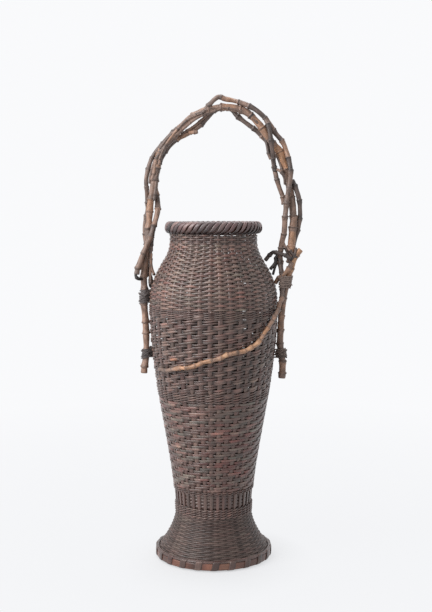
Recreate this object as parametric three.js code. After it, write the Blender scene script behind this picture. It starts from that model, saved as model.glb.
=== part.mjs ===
// Tall ikebana basket of split bamboo with a twisted rhizome handle and a water tube inside.
// Millimetres, +Z up, -Y is the front. The origin is under the middle of the object's box, on the surface
// it stands on; all shapes are drawn about the basket's axis and then moved there together.

import * as THREE from 'three';
import { mergeVertices } from 'three/addons/utils/BufferGeometryUtils.js';

// Woven wall: heights of the bands, from the foot up
const SKIRT_LIFT = 3;
const FOOT_HOOP_TOP = 11;
const SKIRT_HEIGHT = 48;
const WAIST_BELT_HEIGHT = 11;
const WINDOW_HEIGHT = 15;
const WINDOW_BELT_HEIGHT = 4.5;
const TWILL_HEIGHT = 99.5;
const LOWER_BELT_HEIGHT = 11;
const MIDDLE_HEIGHT = 79;
const UPPER_BELT_HEIGHT = 9;
const SHOULDER_HEIGHT = 69;
const NECK_HEIGHT = 9;
const RIM_HEIGHT = 14.5;

// Woven wall: outer radii and thickness
const FOOT_RADIUS = 61;
const WAIST_RADIUS = 43;
const BELLY_RADIUS = 70.8;
const NECK_RADIUS = 48.3;
const WALL = 2.6;
const BELT_PROUD = 0.6;
const CLEARANCE = 0.3;

// Stakes of the wall, and how far the weave sinks between them
const STAKES = 39;
const WEAVE_SINK = 0.9;

// How the flare, the body and the shoulder curve between those radii
const FLARE_POWER = 1.65;
const BODY_POWER = 0.9;
const SHOULDER_POWER = 1.45;

// Window band: bare stakes in front of a thin inner ring
const BAR_WIDTH = 3;
const BAR_DEPTH = 1.4;

// Rim: two hoops that pinch the wall's top edge, and the braid over them
const RIM_HOOP = 2.2;
const BRAID = 1.8;
const RIM_CORNER = 2.4;

// Foot: the inner hoop it stands on, the outer hoop, and the strip that binds the outer hoop
const STANDING_HOOP = 2.4;
const STANDING_HOOP_HEIGHT = 9.5;
const FOOT_HOOP = 1.6;
const FOOT_HOOP_LIFT = 2.2;
const BINDING_LOOPS = 22;
const BINDING_WIDTH = 6.4;
const BINDING = 1.2;
const BINDING_CORNER = 0.7;
const BINDING_SLANT = 0.12;

// Floor and the two splints that brace it
const FLOOR = 3;
const FLOOR_LIFT = 1.2;
const SPLINT_WIDTH = 9;
const SPLINT = 2;

// Water tube: a length of bamboo with one node left in as its bottom
const TUBE_RADIUS = 28;
const TUBE_WALL = 3.6;
const TUBE_BOTTOM = 6;
const TUBE_HEIGHT = 278;
const TUBE_NODE_PROUD = 0.9;
const TUBE_NODE_HALF = 5;
const TUBE_NODE_STEP = 118;

// Handle stems: radii, and the swollen nodes along them
const MAIN_STEM = 3.9;
const LEG_STEM = 3.6;
const OUTER_STEM = 2.9;
const INNER_STEM = 2.9;
const LEFT_STEM = 2.5;
const RIGHT_STEM = 2.6;
const BRANCH_STEM = 1.6;
const TENDRIL = 2.3;
const TIE_ROOT = 1.9;
const THIN_ROOT = 1.6;
const STEM_TIP = 0.85;
const THIN_END = 0.85;
const FIRST_NODE = 7;
const INTERNODE = 17;
const INTERNODE_SPREAD = 0.22;
const INTERNODE_RHYTHM = 2.4;
const NODE_SWELL = 1.2;
const NODE_HALF = 1.9;
const TENDRIL_LIFT = 1.4;
const HANDLE_RISE = 226;

// Lashing cord
const CORD_RADIUS = 0.6;
const CORD_PITCH = 2.1;

// Lashings: how far above the belly line each one starts, and its loops
const LEFT_UPPER_LASHING = { above: 3, loops: 7 };
const LEFT_LOWER_LASHING = { above: -58, loops: 5 };
const RIGHT_UPPER_LASHING = { above: 20, loops: 6 };
const RIGHT_LOWER_LASHING = { above: -58, loops: 5 };

// Facets
const RING_SEGMENTS = 36;
const TUBE_SEGMENTS = 30;
const STEM_SIDES = 6;
const CORD_SIDES = 5;
const CORD_STEPS = 10;
const LONGEST_STEP = 11;
const PATH_SAMPLES = 400;
const WELD = 1e-4;

// Levels that follow from the heights
const skirtTop = SKIRT_LIFT + SKIRT_HEIGHT;
const waistTop = skirtTop + WAIST_BELT_HEIGHT;
const windowTop = waistTop + WINDOW_HEIGHT;
const windowBeltTop = windowTop + WINDOW_BELT_HEIGHT;
const twillTop = windowBeltTop + TWILL_HEIGHT;
const lowerBeltTop = twillTop + LOWER_BELT_HEIGHT;
const middleTop = lowerBeltTop + MIDDLE_HEIGHT;
const bellyZ = middleTop + UPPER_BELT_HEIGHT;
const shoulderTop = bellyZ + SHOULDER_HEIGHT;
const rimBottom = shoulderTop + NECK_HEIGHT;
const rimTop = rimBottom + RIM_HEIGHT;

const handle = new THREE.Group();
const basket = new THREE.Group();

function finish(colour, roughness) {
  return new THREE.MeshStandardMaterial({ color: colour, roughness, metalness: 0 });
}

const weaveBrown = finish(0x66574f, 0.55);
const weaveRed = finish(0x7c5748, 0.55);
const beltBrown = finish(0x5a4c46, 0.55);
const hoopRed = finish(0x96603f, 0.45);
const stemTan = finish(0xa5785f, 0.5);
const stemDark = finish(0x6b5448, 0.55);
const tendrilTan = finish(0xcda582, 0.5);
const cordBlack = finish(0x23262f, 0.7);
const tubeBrown = finish(0x8a6a45, 0.6);

// Closed bodies

// Merges shared vertices and turns the faces outwards
function closed(geometry) {
  for (const name of ['normal', 'uv']) {
    geometry.deleteAttribute(name);
  }
  const body = mergeVertices(geometry, WELD);
  const corners = body.getAttribute('position');
  const index = body.getIndex();
  const a = new THREE.Vector3();
  const b = new THREE.Vector3();
  const c = new THREE.Vector3();
  let volume = 0;
  const kept = [];
  for (let i = 0; i < index.count; i += 3) {
    const [p, q, r] = [index.getX(i), index.getX(i + 1), index.getX(i + 2)];
    if (p === q || q === r || r === p) continue;
    a.fromBufferAttribute(corners, p);
    b.fromBufferAttribute(corners, q);
    c.fromBufferAttribute(corners, r);
    volume += a.dot(b.cross(c));
    kept.push(p, q, r);
  }
  body.setIndex(volume < 0 ? kept.reverse() : kept);
  body.computeVertexNormals();
  return body;
}

function addPart(group, name, geometry, material) {
  const mesh = new THREE.Mesh(closed(geometry), material);
  mesh.name = name;
  group.add(mesh);
  return mesh;
}

// Turns a closed outline of [radius, height] points about the axis
function turned(outline, segments = RING_SEGMENTS) {
  const points = outline.map(([r, z]) => new THREE.Vector2(r, z));
  const onAxis = outline[0][0] === 0;
  if (!onAxis) points.push(points[0].clone());
  return new THREE.LatheGeometry(points, segments).rotateX(Math.PI / 2);
}

// Joins rings of points, one after another along a path, into a tube with closed ends
function tubeOfRings(rings) {
  const sides = rings[0].length;
  const positions = [];
  const index = [];
  for (const ring of rings) {
    for (const p of ring) positions.push(p.x, p.y, p.z);
  }
  for (let i = 0; i + 1 < rings.length; i += 1) {
    for (let k = 0; k < sides; k += 1) {
      const a = i * sides + k;
      const b = i * sides + ((k + 1) % sides);
      index.push(a, b, b + sides, a, b + sides, a + sides);
    }
  }
  const last = (rings.length - 1) * sides;
  for (let k = 1; k + 1 < sides; k += 1) {
    index.push(0, k + 1, k);
    index.push(last, last + k, last + k + 1);
  }
  const geometry = new THREE.BufferGeometry();
  geometry.setAttribute('position', new THREE.Float32BufferAttribute(positions, 3));
  geometry.setIndex(index);
  return geometry;
}

// Round sections of given radii on a list of points, turned no more than the path turns
function roundRings(points, radii, sides) {
  const along = new THREE.Vector3();
  const across = new THREE.Vector3();
  const other = new THREE.Vector3();
  const rings = [];
  points.forEach((point, i) => {
    const before = points[Math.max(i - 1, 0)];
    const after = points[Math.min(i + 1, points.length - 1)];
    along.subVectors(after, before).normalize();
    if (i === 0) across.set(0, 1, 0);
    across.addScaledVector(along, -across.dot(along)).normalize();
    other.crossVectors(along, across);
    const ring = [];
    for (let k = 0; k < sides; k += 1) {
      const turn = (2 * Math.PI * k) / sides;
      const rim = point.clone();
      rim.addScaledVector(across, radii[i] * Math.cos(turn));
      rim.addScaledVector(other, radii[i] * Math.sin(turn));
      ring.push(rim);
    }
    rings.push(ring);
  });
  return rings;
}

// Least distance between two stretches of one path that lie a turn apart, less the strand's thickness
function leastGap(points, turnSteps, thickness) {
  let least = Infinity;
  for (let i = 0; i < points.length; i += 1) {
    for (let j = i + Math.floor(turnSteps * 0.6); j < points.length; j += 1) {
      least = Math.min(least, points[i].distanceTo(points[j]));
    }
  }
  return least - thickness;
}

// Wall profile

const smooth = (t) => t * t * (3 - 2 * t);

// Outer radius of the woven wall at a height
function wallRadius(z) {
  if (z <= FOOT_HOOP_TOP) return FOOT_RADIUS;
  if (z <= skirtTop) {
    const t = (skirtTop - z) / (skirtTop - FOOT_HOOP_TOP);
    return WAIST_RADIUS + (FOOT_RADIUS - WAIST_RADIUS) * t ** FLARE_POWER;
  }
  if (z <= bellyZ) {
    const t = ((z - skirtTop) / (bellyZ - skirtTop)) ** BODY_POWER;
    return WAIST_RADIUS + (BELLY_RADIUS - WAIST_RADIUS) * smooth(t);
  }
  if (z <= shoulderTop) {
    const t = ((z - bellyZ) / (shoulderTop - bellyZ)) ** SHOULDER_POWER;
    return BELLY_RADIUS + (NECK_RADIUS - BELLY_RADIUS) * smooth(t);
  }
  return NECK_RADIUS;
}

// One woven band of the wall between two heights, with half a clearance left at each edge. The outside
// has an upright ridge over each stake and sinks between them, and the inside is plain. The skirt
// runs straight up inside the foot hoop before it bends.
function wovenBand(low, high, steps) {
  const from = low + CLEARANCE / 2;
  const to = high - CLEARANCE / 2;
  const positions = [];
  const index = [];
  const addRing = (z, count, radiusAt) => {
    for (let k = 0; k < count; k += 1) {
      const angle = (2 * Math.PI * k) / count;
      positions.push(radiusAt(k) * Math.cos(angle), radiusAt(k) * Math.sin(angle), z);
    }
  };
  const levels = from < FOOT_HOOP_TOP ? [from, FOOT_HOOP_TOP] : [from];
  const bend = levels[levels.length - 1];
  for (let i = 1; i <= steps; i += 1) levels.push(bend + ((to - bend) * i) / steps);
  const top = levels.length - 1;
  const around = 2 * STAKES;
  for (const z of levels) addRing(z, around, (k) => wallRadius(z) - (k % 2) * WEAVE_SINK);
  for (const z of levels) addRing(z, STAKES, () => wallRadius(z) - WALL);
  const outer = (i, k) => i * around + (k % around);
  const inner = (i, k) => levels.length * around + i * STAKES + (k % STAKES);
  for (let i = 0; i < top; i += 1) {
    for (let k = 0; k < around; k += 1) {
      index.push(outer(i, k), outer(i, k + 1), outer(i + 1, k + 1));
      index.push(outer(i, k), outer(i + 1, k + 1), outer(i + 1, k));
    }
    for (let k = 0; k < STAKES; k += 1) {
      index.push(inner(i, k), inner(i + 1, k + 1), inner(i, k + 1));
      index.push(inner(i, k), inner(i + 1, k), inner(i + 1, k + 1));
    }
  }
  for (let k = 0; k < STAKES; k += 1) {
    const sink = 2 * k + 1;
    index.push(outer(top, sink - 1), outer(top, sink), inner(top, k));
    index.push(outer(top, sink), inner(top, k + 1), inner(top, k));
    index.push(outer(top, sink), outer(top, sink + 1), inner(top, k + 1));
    index.push(outer(0, sink - 1), inner(0, k), outer(0, sink));
    index.push(outer(0, sink), inner(0, k), inner(0, k + 1));
    index.push(outer(0, sink), inner(0, k + 1), outer(0, sink + 1));
  }
  const band = new THREE.BufferGeometry();
  band.setAttribute('position', new THREE.Float32BufferAttribute(positions, 3));
  return band.setIndex(index);
}

// A belt is a band with a rounded face that stands proud of the wall
function belt(low, high) {
  const from = low + CLEARANCE / 2;
  const to = high - CLEARANCE / 2;
  const bevel = Math.min(BELT_PROUD * 2, (to - from) / 3);
  return turned([
    [wallRadius(from), from],
    [wallRadius(from + bevel) + BELT_PROUD, from + bevel],
    [wallRadius(to - bevel) + BELT_PROUD, to - bevel],
    [wallRadius(to), to],
    [wallRadius(to) - WALL, to],
    [wallRadius(from) - WALL, from],
  ]);
}

// Foot

function standingHoop() {
  const outer = FOOT_RADIUS - WALL - CLEARANCE;
  const inner = outer - STANDING_HOOP;
  return turned([[outer, 0], [outer, STANDING_HOOP_HEIGHT], [inner, STANDING_HOOP_HEIGHT], [inner, 0]]);
}

const footHoopInner = FOOT_RADIUS + BINDING + 2 * CLEARANCE;
const footHoopOuter = footHoopInner + FOOT_HOOP;

function footHoop() {
  return turned([
    [footHoopOuter, FOOT_HOOP_LIFT],
    [footHoopOuter, FOOT_HOOP_TOP],
    [footHoopInner, FOOT_HOOP_TOP],
    [footHoopInner, FOOT_HOOP_LIFT],
  ]);
}

// A flat strip wound round the outer hoop: up the outside, back down and on to the next loop inside
function footBinding() {
  const off = CLEARANCE + BINDING / 2;
  const low = FOOT_HOOP_LIFT - off;
  const high = FOOT_HOOP_TOP + off;
  const inner = footHoopInner - off;
  const outer = footHoopOuter + off;
  const c = BINDING_CORNER;
  const slant = BINDING_SLANT;
  const loop = [
    { r: outer, z: low + c, nr: 1, nz: -0.3, share: 0 },
    { r: outer, z: high - c, nr: 1, nz: 0.3, share: slant },
    { r: outer - c, z: high, nr: 0.3, nz: 1, share: slant },
    { r: inner + c, z: high, nr: -0.3, nz: 1, share: slant },
    { r: inner, z: high - c, nr: -1, nz: 0.3, share: slant + 0.05 },
    { r: inner, z: (2 * high + low) / 3, nr: -1, nz: 0, share: slant + 0.3 },
    { r: inner, z: (high + 2 * low) / 3, nr: -1, nz: 0, share: slant + 0.56 },
    { r: inner, z: low + c, nr: -1, nz: -0.3, share: 0.95 },
    { r: inner + c, z: low, nr: -0.3, nz: -1, share: 1 },
    { r: outer - c, z: low, nr: 0.3, nz: -1, share: 1 },
  ];
  const loopAngle = (2 * Math.PI) / BINDING_LOOPS;
  const rings = [];
  const middles = [];
  for (let n = 0; n < BINDING_LOOPS; n += 1) {
    for (const at of loop) {
      const lastTurn = n === BINDING_LOOPS - 1 && at.share > slant;
      if (lastTurn) continue;
      const angle = (n + at.share) * loopAngle;
      const half = BINDING_WIDTH / 2 / footHoopOuter;
      const length = Math.hypot(at.nr, at.nz);
      const point = (side, face) => {
        const r = at.r + (face * at.nr * BINDING) / 2 / length;
        const z = at.z + (face * at.nz * BINDING) / 2 / length;
        return new THREE.Vector3(r * Math.cos(angle + side), r * Math.sin(angle + side), z);
      };
      rings.push([point(-half, -1), point(half, -1), point(half, 1), point(-half, 1)]);
      middles.push(new THREE.Vector3(at.r * Math.cos(angle), at.r * Math.sin(angle), at.z));
    }
  }
  const gap = leastGap(middles, loop.length * 2, BINDING_WIDTH);
  console.log(`foot_binding least gap to itself ${gap.toFixed(2)} mm`);
  return tubeOfRings(rings);
}

// Window band

// A thin ring with upright bars on its outside, leaning with the wall
function windowBand() {
  const low = waistTop + CLEARANCE / 2;
  const high = windowTop - CLEARANCE / 2;
  const face = wallRadius(low);
  const back = face - BAR_DEPTH;
  const half = BAR_WIDTH / 2 / face;
  const step = (2 * Math.PI) / STAKES;
  const outline = [];
  for (let n = 0; n < STAKES; n += 1) {
    const middle = n * step;
    outline.push([back, middle - half], [face, middle - half], [face, middle + half], [back, middle + half]);
  }
  const onCircle = ([r, angle]) => new THREE.Vector2(r * Math.cos(angle), r * Math.sin(angle));
  const shape = new THREE.Shape(outline.map(onCircle));
  const bore = [];
  for (let n = 0; n < RING_SEGMENTS; n += 1) bore.push([face - WALL, (2 * Math.PI * n) / RING_SEGMENTS]);
  shape.holes.push(new THREE.Path(bore.map(onCircle)));
  const band = new THREE.ExtrudeGeometry(shape, { depth: high - low, bevelEnabled: false });
  const points = band.getAttribute('position');
  for (let i = 0; i < points.count; i += 1) {
    const lean = wallRadius(low + points.getZ(i)) / face;
    points.setXY(i, points.getX(i) * lean, points.getY(i) * lean);
  }
  return band.translate(0, 0, low);
}

// Neck and rim

// The neck's wall runs on up between the two rim hoops
const edgeTop = rimTop - BRAID - CLEARANCE;

function neckBand() {
  const low = shoulderTop + CLEARANCE / 2;
  const inner = NECK_RADIUS - WALL;
  return turned([[NECK_RADIUS, low], [NECK_RADIUS, edgeTop], [inner, edgeTop], [inner, low]]);
}

function rimHoop(inner) {
  const low = rimBottom + CLEARANCE;
  const outer = inner + RIM_HOOP;
  return turned([[outer, low], [outer, edgeTop], [inner, edgeTop], [inner, low]]);
}

const outerHoopInner = NECK_RADIUS + CLEARANCE;
const innerHoopInner = NECK_RADIUS - WALL - CLEARANCE - RIM_HOOP;
const braidBoreOuter = outerHoopInner + RIM_HOOP + CLEARANCE;
const braidBoreInner = innerHoopInner - CLEARANCE;

// The braid covers both hoops and is open underneath, where the wall comes up
function rimBraid() {
  const roof = rimTop - BRAID;
  const outer = braidBoreOuter + BRAID;
  const inner = braidBoreInner - BRAID;
  return turned([
    [braidBoreOuter, rimBottom],
    [outer - BRAID / 2, rimBottom],
    [outer, rimBottom + RIM_CORNER],
    [outer, rimTop - RIM_CORNER],
    [outer - RIM_CORNER, rimTop],
    [inner + RIM_CORNER, rimTop],
    [inner, rimTop - RIM_CORNER],
    [inner, rimBottom + RIM_CORNER],
    [inner + BRAID / 2, rimBottom],
    [braidBoreInner, rimBottom],
    [braidBoreInner, roof],
    [braidBoreOuter, roof],
  ]);
}

// Floor and water tube

const floorLow = skirtTop + FLOOR_LIFT;
const floorTop = floorLow + FLOOR;
const floorRadius = wallRadius(floorLow) - WALL - CLEARANCE;

function floorMat() {
  return turned([[0, floorLow], [floorRadius, floorLow], [floorRadius, floorTop], [0, floorTop]]);
}

// A flat splint from wall to wall, whose round ends follow the wall
function splint(top, turn) {
  const low = top - SPLINT;
  const reach = wallRadius(top) - WALL - CLEARANCE;
  const half = SPLINT_WIDTH / 2;
  const corner = Math.asin(half / reach);
  const outline = new THREE.Shape();
  outline.absarc(0, 0, reach, -corner, corner, false);
  outline.absarc(0, 0, reach, Math.PI - corner, Math.PI + corner, false);
  const plate = new THREE.ExtrudeGeometry(outline, { depth: SPLINT, bevelEnabled: false, curveSegments: 4 });
  return plate.translate(0, 0, low).rotateZ(turn);
}

function waterTube() {
  const low = floorTop + CLEARANCE;
  const high = low + TUBE_HEIGHT;
  const bore = TUBE_RADIUS - TUBE_WALL;
  const chamfer = TUBE_WALL / 4;
  const outside = [[TUBE_RADIUS - chamfer, low], [TUBE_RADIUS, low + chamfer]];
  const firstNode = low + TUBE_BOTTOM + TUBE_NODE_HALF;
  for (let z = firstNode; z + TUBE_NODE_HALF < high; z += TUBE_NODE_STEP) {
    outside.push([TUBE_RADIUS, z - TUBE_NODE_HALF]);
    outside.push([TUBE_RADIUS + TUBE_NODE_PROUD, z]);
    outside.push([TUBE_RADIUS, z + TUBE_NODE_HALF]);
  }
  outside.push([TUBE_RADIUS, high - chamfer], [TUBE_RADIUS - chamfer, high]);
  const inside = [[bore, high], [bore, low + TUBE_BOTTOM], [0, low + TUBE_BOTTOM]];
  return turned([[0, low], ...outside, ...inside], TUBE_SEGMENTS);
}

// Handle

// Stems pass in front of each other in layers, a little more than the thickest stem apart
const layerDepth = MAIN_STEM + Math.max(OUTER_STEM, INNER_STEM) + 2 * CLEARANCE;

// The routes are drawn on this half span and rise, and move apart or together with the real ones
const DRAWN_REACH = 76.5;
const DRAWN_RISE = 226;
const CROWN_HALF_SPAN = 55;
const CROWN_FOOT = 170;
const legStandoff = MAIN_STEM + 2 * CORD_RADIUS + 2 * CLEARANCE;
const handleReach = BELLY_RADIUS + legStandoff;

// A route's point is [across, above the belly line, layers behind the middle]
function onHandle([across, above, layer]) {
  const spread = THREE.MathUtils.clamp(across / CROWN_HALF_SPAN, -1, 1);
  const lift = THREE.MathUtils.clamp(above / CROWN_FOOT, 0, 1);
  const x = across + spread * (handleReach - DRAWN_REACH);
  const z = bellyZ + above + lift * (HANDLE_RISE - DRAWN_RISE);
  return new THREE.Vector3(x, layer * layerDepth, z);
}

// A point of the tendril is [degrees round the wall, above the belly line, clear of the wall]
function onWall([degrees, above, clear]) {
  const angle = THREE.MathUtils.degToRad(degrees);
  const z = bellyZ + above;
  const r = wallRadius(z) + clear;
  return new THREE.Vector3(r * Math.cos(angle), r * Math.sin(angle), z);
}

// Distances along a stem and the radius there: a swollen node between each two internodes
function stemSections(length, startRadius, endRadius) {
  const base = (s) => startRadius + ((endRadius - startRadius) * s) / length;
  const sections = [[0, base(0) * STEM_TIP]];
  let node = FIRST_NODE;
  for (let n = 0; node + NODE_HALF < length; n += 1) {
    const from = sections[sections.length - 1][0];
    const start = node - NODE_HALF;
    const extra = Math.floor((start - from) / LONGEST_STEP);
    for (let k = 1; k <= extra; k += 1) {
      const s = from + ((start - from) * k) / (extra + 1);
      sections.push([s, base(s)]);
    }
    sections.push([start, base(start)], [node, base(node) * NODE_SWELL], [node + NODE_HALF, base(node)]);
    node += INTERNODE * (1 + INTERNODE_SPREAD * Math.sin(n * INTERNODE_RHYTHM));
  }
  sections.push([length, base(length) * STEM_TIP]);
  return sections;
}

const stems = {};

function stem(name, points, startRadius, endRadius, material) {
  const curve = new THREE.CatmullRomCurve3(points, false, 'centripetal');
  curve.arcLengthDivisions = PATH_SAMPLES;
  const length = curve.getLength();
  const sections = stemSections(length, startRadius, endRadius);
  const middles = sections.map(([s]) => curve.getPointAt(s / length));
  const radii = sections.map(([, r]) => r);
  stems[name] = { path: curve.getSpacedPoints(PATH_SAMPLES), middles, radii };
  addPart(handle, name, tubeOfRings(roundRings(middles, radii, STEM_SIDES)), material);
}

// Where a stem crosses a height, seen from above
function stemAt(name, z) {
  let best = null;
  for (const point of stems[name].path) {
    if (!best || Math.abs(point.z - z) < Math.abs(best.z - z)) best = point;
  }
  return new THREE.Vector2(best.x, best.y);
}

// The thickest that a stem gets between two heights, or just outside them
function widest(name, low, high) {
  const { middles, radii } = stems[name];
  const near = middles.map(({ z }) => z > low - INTERNODE / 2 && z < high + INTERNODE / 2);
  return Math.max(...radii.filter((_, i) => near[i]));
}

// A cord wound round a stem and what stands beside it, as one
function lashing(name, { above, loops }, stemName, besideAt) {
  const low = bellyZ + above;
  const radius = widest(stemName, low, low + loops * CORD_PITCH);
  const points = [];
  for (let i = 0; i <= loops * CORD_STEPS; i += 1) {
    const turn = (2 * Math.PI * i) / CORD_STEPS;
    const z = low + (CORD_PITCH * i) / CORD_STEPS;
    const way = new THREE.Vector2(Math.cos(turn), Math.sin(turn));
    const reach = (round) => round.middle.dot(way) + round.radius;
    const stemRound = { middle: stemAt(stemName, z), radius };
    const beside = besideAt(z, stemRound.middle);
    const held = reach(stemRound) >= reach(beside) ? stemRound : beside;
    const off = (held.radius + CLEARANCE + CORD_RADIUS) / Math.cos(Math.PI / CORD_STEPS);
    const spot = held.middle.clone().addScaledVector(way, off);
    points.push(new THREE.Vector3(spot.x, spot.y, z));
  }
  const gap = leastGap(points, CORD_STEPS, 2 * CORD_RADIUS);
  console.log(`${name} least gap to itself ${gap.toFixed(2)} mm`);
  const cord = roundRings(points, points.map(() => CORD_RADIUS), CORD_SIDES);
  addPart(handle, name, tubeOfRings(cord), cordBlack);
}

// The edge of the wall beside a leg, which the cord just clears
function wallBeside(z, leg) {
  const nearest = wallRadius(z) + 3 * CLEARANCE + 3 * CORD_RADIUS;
  return { middle: leg.clone().setLength(nearest), radius: CORD_RADIUS };
}

function tendrilBeside(z) {
  return { middle: stemAt('front_tendril', z), radius: TENDRIL * NODE_SWELL };
}

// The long stem that is both the left leg and the arch
const mainRoute = [
  [-78, -75, 0], [-76.5, -55, 0], [-75.5, -38, 0], [-75.5, -16, 0], [-77, 6, 0], [-77, 25, 0],
  [-76, 44, 0], [-74, 59, 0], [-72, 78, 0], [-71, 92, 0], [-70.3, 104, 0], [-68.4, 116, 0],
  [-64.3, 137, 0], [-61, 154, 0], [-57, 167, 0], [-48, 180, 0], [-36, 193, 0], [-24, 204, 0],
  [-9, 212, 0], [9, 216, 0], [27, 214.5, 0], [39, 209, 0], [48.5, 199.2, 0], [56.5, 188, 0],
  [65.5, 177.5, 0.1], [72, 168, 0.2], [77.5, 155, 0.4], [82, 141, 0.55], [84, 127, 0.55], [86, 113, 0.5],
  [87, 97, 0.4], [86, 81, 0.2], [85, 64, 0], [84.5, 55, 0],
];

// The stem over the right of the arch, with the small loop at the crown
const outerRoute = [
  [-4, 218.7, -0.25], [1, 224, -0.3], [6, 227, -0.2], [12, 225, -0.1], [20, 223.8, -0.1],
  [32, 220.5, -0.4], [44, 214.8, -0.6], [53, 207, -0.5], [60, 198, -0.3], [67, 188.5, -0.1],
  [75, 179, 0], [80, 168, -0.15], [83, 156, -0.4], [84, 144, -0.55], [83, 130, -0.55], [81, 116, -0.55],
  [79, 100, -0.5], [77, 82, -0.35], [74, 67, -0.1], [73, 55, -0.1],
];

// The stem on the inside of the arch, which crosses to the front of the left leg
const innerRoute = [
  [-84, 35, -1], [-82, 42, -1], [-78, 54, -1], [-73.5, 65, -1.02], [-68.8, 75, -1.02],
  [-65.3, 85, -0.85], [-62.5, 95, -0.5], [-60.8, 103, -0.1], [-60.6, 110, 0.4], [-61.5, 118, 0.85],
  [-63.3, 127, 1.05], [-63.6, 137.5, 1.1], [-61, 148.4, 1.05], [-58, 159, 1], [-52.5, 170, 1],
  [-42, 181, 0.95], [-31, 187, 0.75], [-22, 191.5, 0.65], [-14, 197.5, 0.75], [-7, 205, 0.95],
  [2, 213.5, 1.05], [11, 216.5, 1.05], [19, 215, 1.05], [26, 208, 0.9], [39, 197.5, 0.75],
  [50, 189.5, 0.9], [59, 179, 1], [64, 166, 0.9], [67, 150, 0.65], [71, 132, 0.6], [76, 117, 0.6],
  [77, 111, 0.6],
];

const leftRoute = [
  [-39, 195, 0.6], [-52.5, 182.5, 0.7], [-62.3, 170.5, 0.6], [-68.3, 159, 0.45], [-71.5, 148, 0.4],
  [-73.8, 137, 0.4], [-73.5, 127, 0.6], [-72.7, 116, 0.85], [-72, 105, 1], [-74, 94, 1], [-75.2, 87, 1],
  [-75.5, 74, 1], [-74, 58, 1], [-72, 44, 1], [-71.5, 32, 1],
];

const rightRoute = [
  [89, 131, 0.2], [92.5, 120, 0.1], [94.5, 107, 0.3], [95, 97, 0.5], [93, 84, 0.8], [90, 73, 1], [88, 64, 1],
];

const branchRoute = [[69.4, 149.5, 0.22], [74, 146, -0.4], [77, 140, -0.4], [78, 133, -0.2]];

// The right leg, whose forked top sticks out
const legRoute = [
  [96, 62, 0], [90, 54, 0], [86, 46, 0], [82.5, 36, 0], [81, 24, 0], [80, 11, 0], [78.5, -4, 0],
  [76.5, -18, 0], [76, -36, 0], [76.5, -56, 0], [77, -81, 0],
];

// How far off the wall a stem's middle lies, along the stem and at a cut end
const seat = (radius) => radius * NODE_SWELL + CLEARANCE;
const endSeat = (radius) => radius * STEM_TIP;

// Small roots whose ends rest on the wall
const leftRootRoute = [
  ...[[-67.9, 69, -0.25], [-68.3, 56, -0.3], [-69.5, 40, -0.3]].map(onHandle),
  onWall([-177, 24, endSeat(THIN_ROOT)]),
];
const tieRootRoute = [
  onWall([0, 50, endSeat(TIE_ROOT)]),
  ...[[61.5, 56, -0.2], [66, 60, -0.6], [70, 59, -0.9], [77, 56, -1], [85, 52, -1]].map(onHandle),
];
const thinRootRoute = [
  ...[[69.5, 54, 0.1], [68.5, 48, 0.1]].map(onHandle),
  onWall([1, 40, endSeat(THIN_ROOT)]),
];

// The tendril leaves the right leg and lies on the wall, round the front to the left
const overBelt = [[-18, 0], [-27, -8]];
const overWeave = [
  [-35, -16], [-41, -23], [-47, -31], [-53, -37], [-61, -41], [-70, -44], [-79, -46], [-88, -49],
  [-96, -52], [-104, -56], [-113, -59], [-123, -62], [-134, -64], [-147, -65],
];
const tendrilRoute = [
  ...[[72.7, 53, -0.1], [74.5, 39, -0.55], [75, 24, -1]].map(onHandle),
  onWall([-9, 10, seat(TENDRIL) + TENDRIL_LIFT]),
  ...overBelt.map((spot) => onWall([...spot, seat(TENDRIL) + BELT_PROUD])),
  ...overWeave.map((spot) => onWall([...spot, seat(TENDRIL)])),
];

// Assembly

addPart(basket, 'foot_hoop_inner', standingHoop(), hoopRed);
addPart(basket, 'foot_skirt', wovenBand(SKIRT_LIFT, skirtTop, 4), weaveBrown);
addPart(basket, 'foot_hoop_outer', footHoop(), hoopRed);
addPart(basket, 'foot_binding', footBinding(), beltBrown);
addPart(basket, 'waist_belt', belt(skirtTop, waistTop), beltBrown);
addPart(basket, 'window_band', windowBand(), weaveBrown);
addPart(basket, 'window_belt', belt(windowTop, windowBeltTop), beltBrown);
addPart(basket, 'lower_twill', wovenBand(windowBeltTop, twillTop, 4), weaveRed);
addPart(basket, 'lower_belt', belt(twillTop, lowerBeltTop), beltBrown);
addPart(basket, 'middle_weave', wovenBand(lowerBeltTop, middleTop, 3), weaveRed);
addPart(basket, 'upper_belt', belt(middleTop, bellyZ), beltBrown);
addPart(basket, 'shoulder_weave', wovenBand(bellyZ, shoulderTop, 5), weaveBrown);
addPart(basket, 'neck_band', neckBand(), weaveBrown);
addPart(basket, 'rim_hoop_outer', rimHoop(outerHoopInner), hoopRed);
addPart(basket, 'rim_hoop_inner', rimHoop(innerHoopInner), hoopRed);
addPart(basket, 'rim_braid', rimBraid(), weaveBrown);
addPart(basket, 'floor_mat', floorMat(), weaveBrown);
addPart(basket, 'floor_splint_upper', splint(floorLow - CLEARANCE, Math.PI / 4), hoopRed);
const lowerSplintTop = floorLow - 2 * CLEARANCE - SPLINT;
addPart(basket, 'floor_splint_lower', splint(lowerSplintTop, -Math.PI / 4), hoopRed);
addPart(basket, 'water_tube', waterTube(), tubeBrown);

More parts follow.
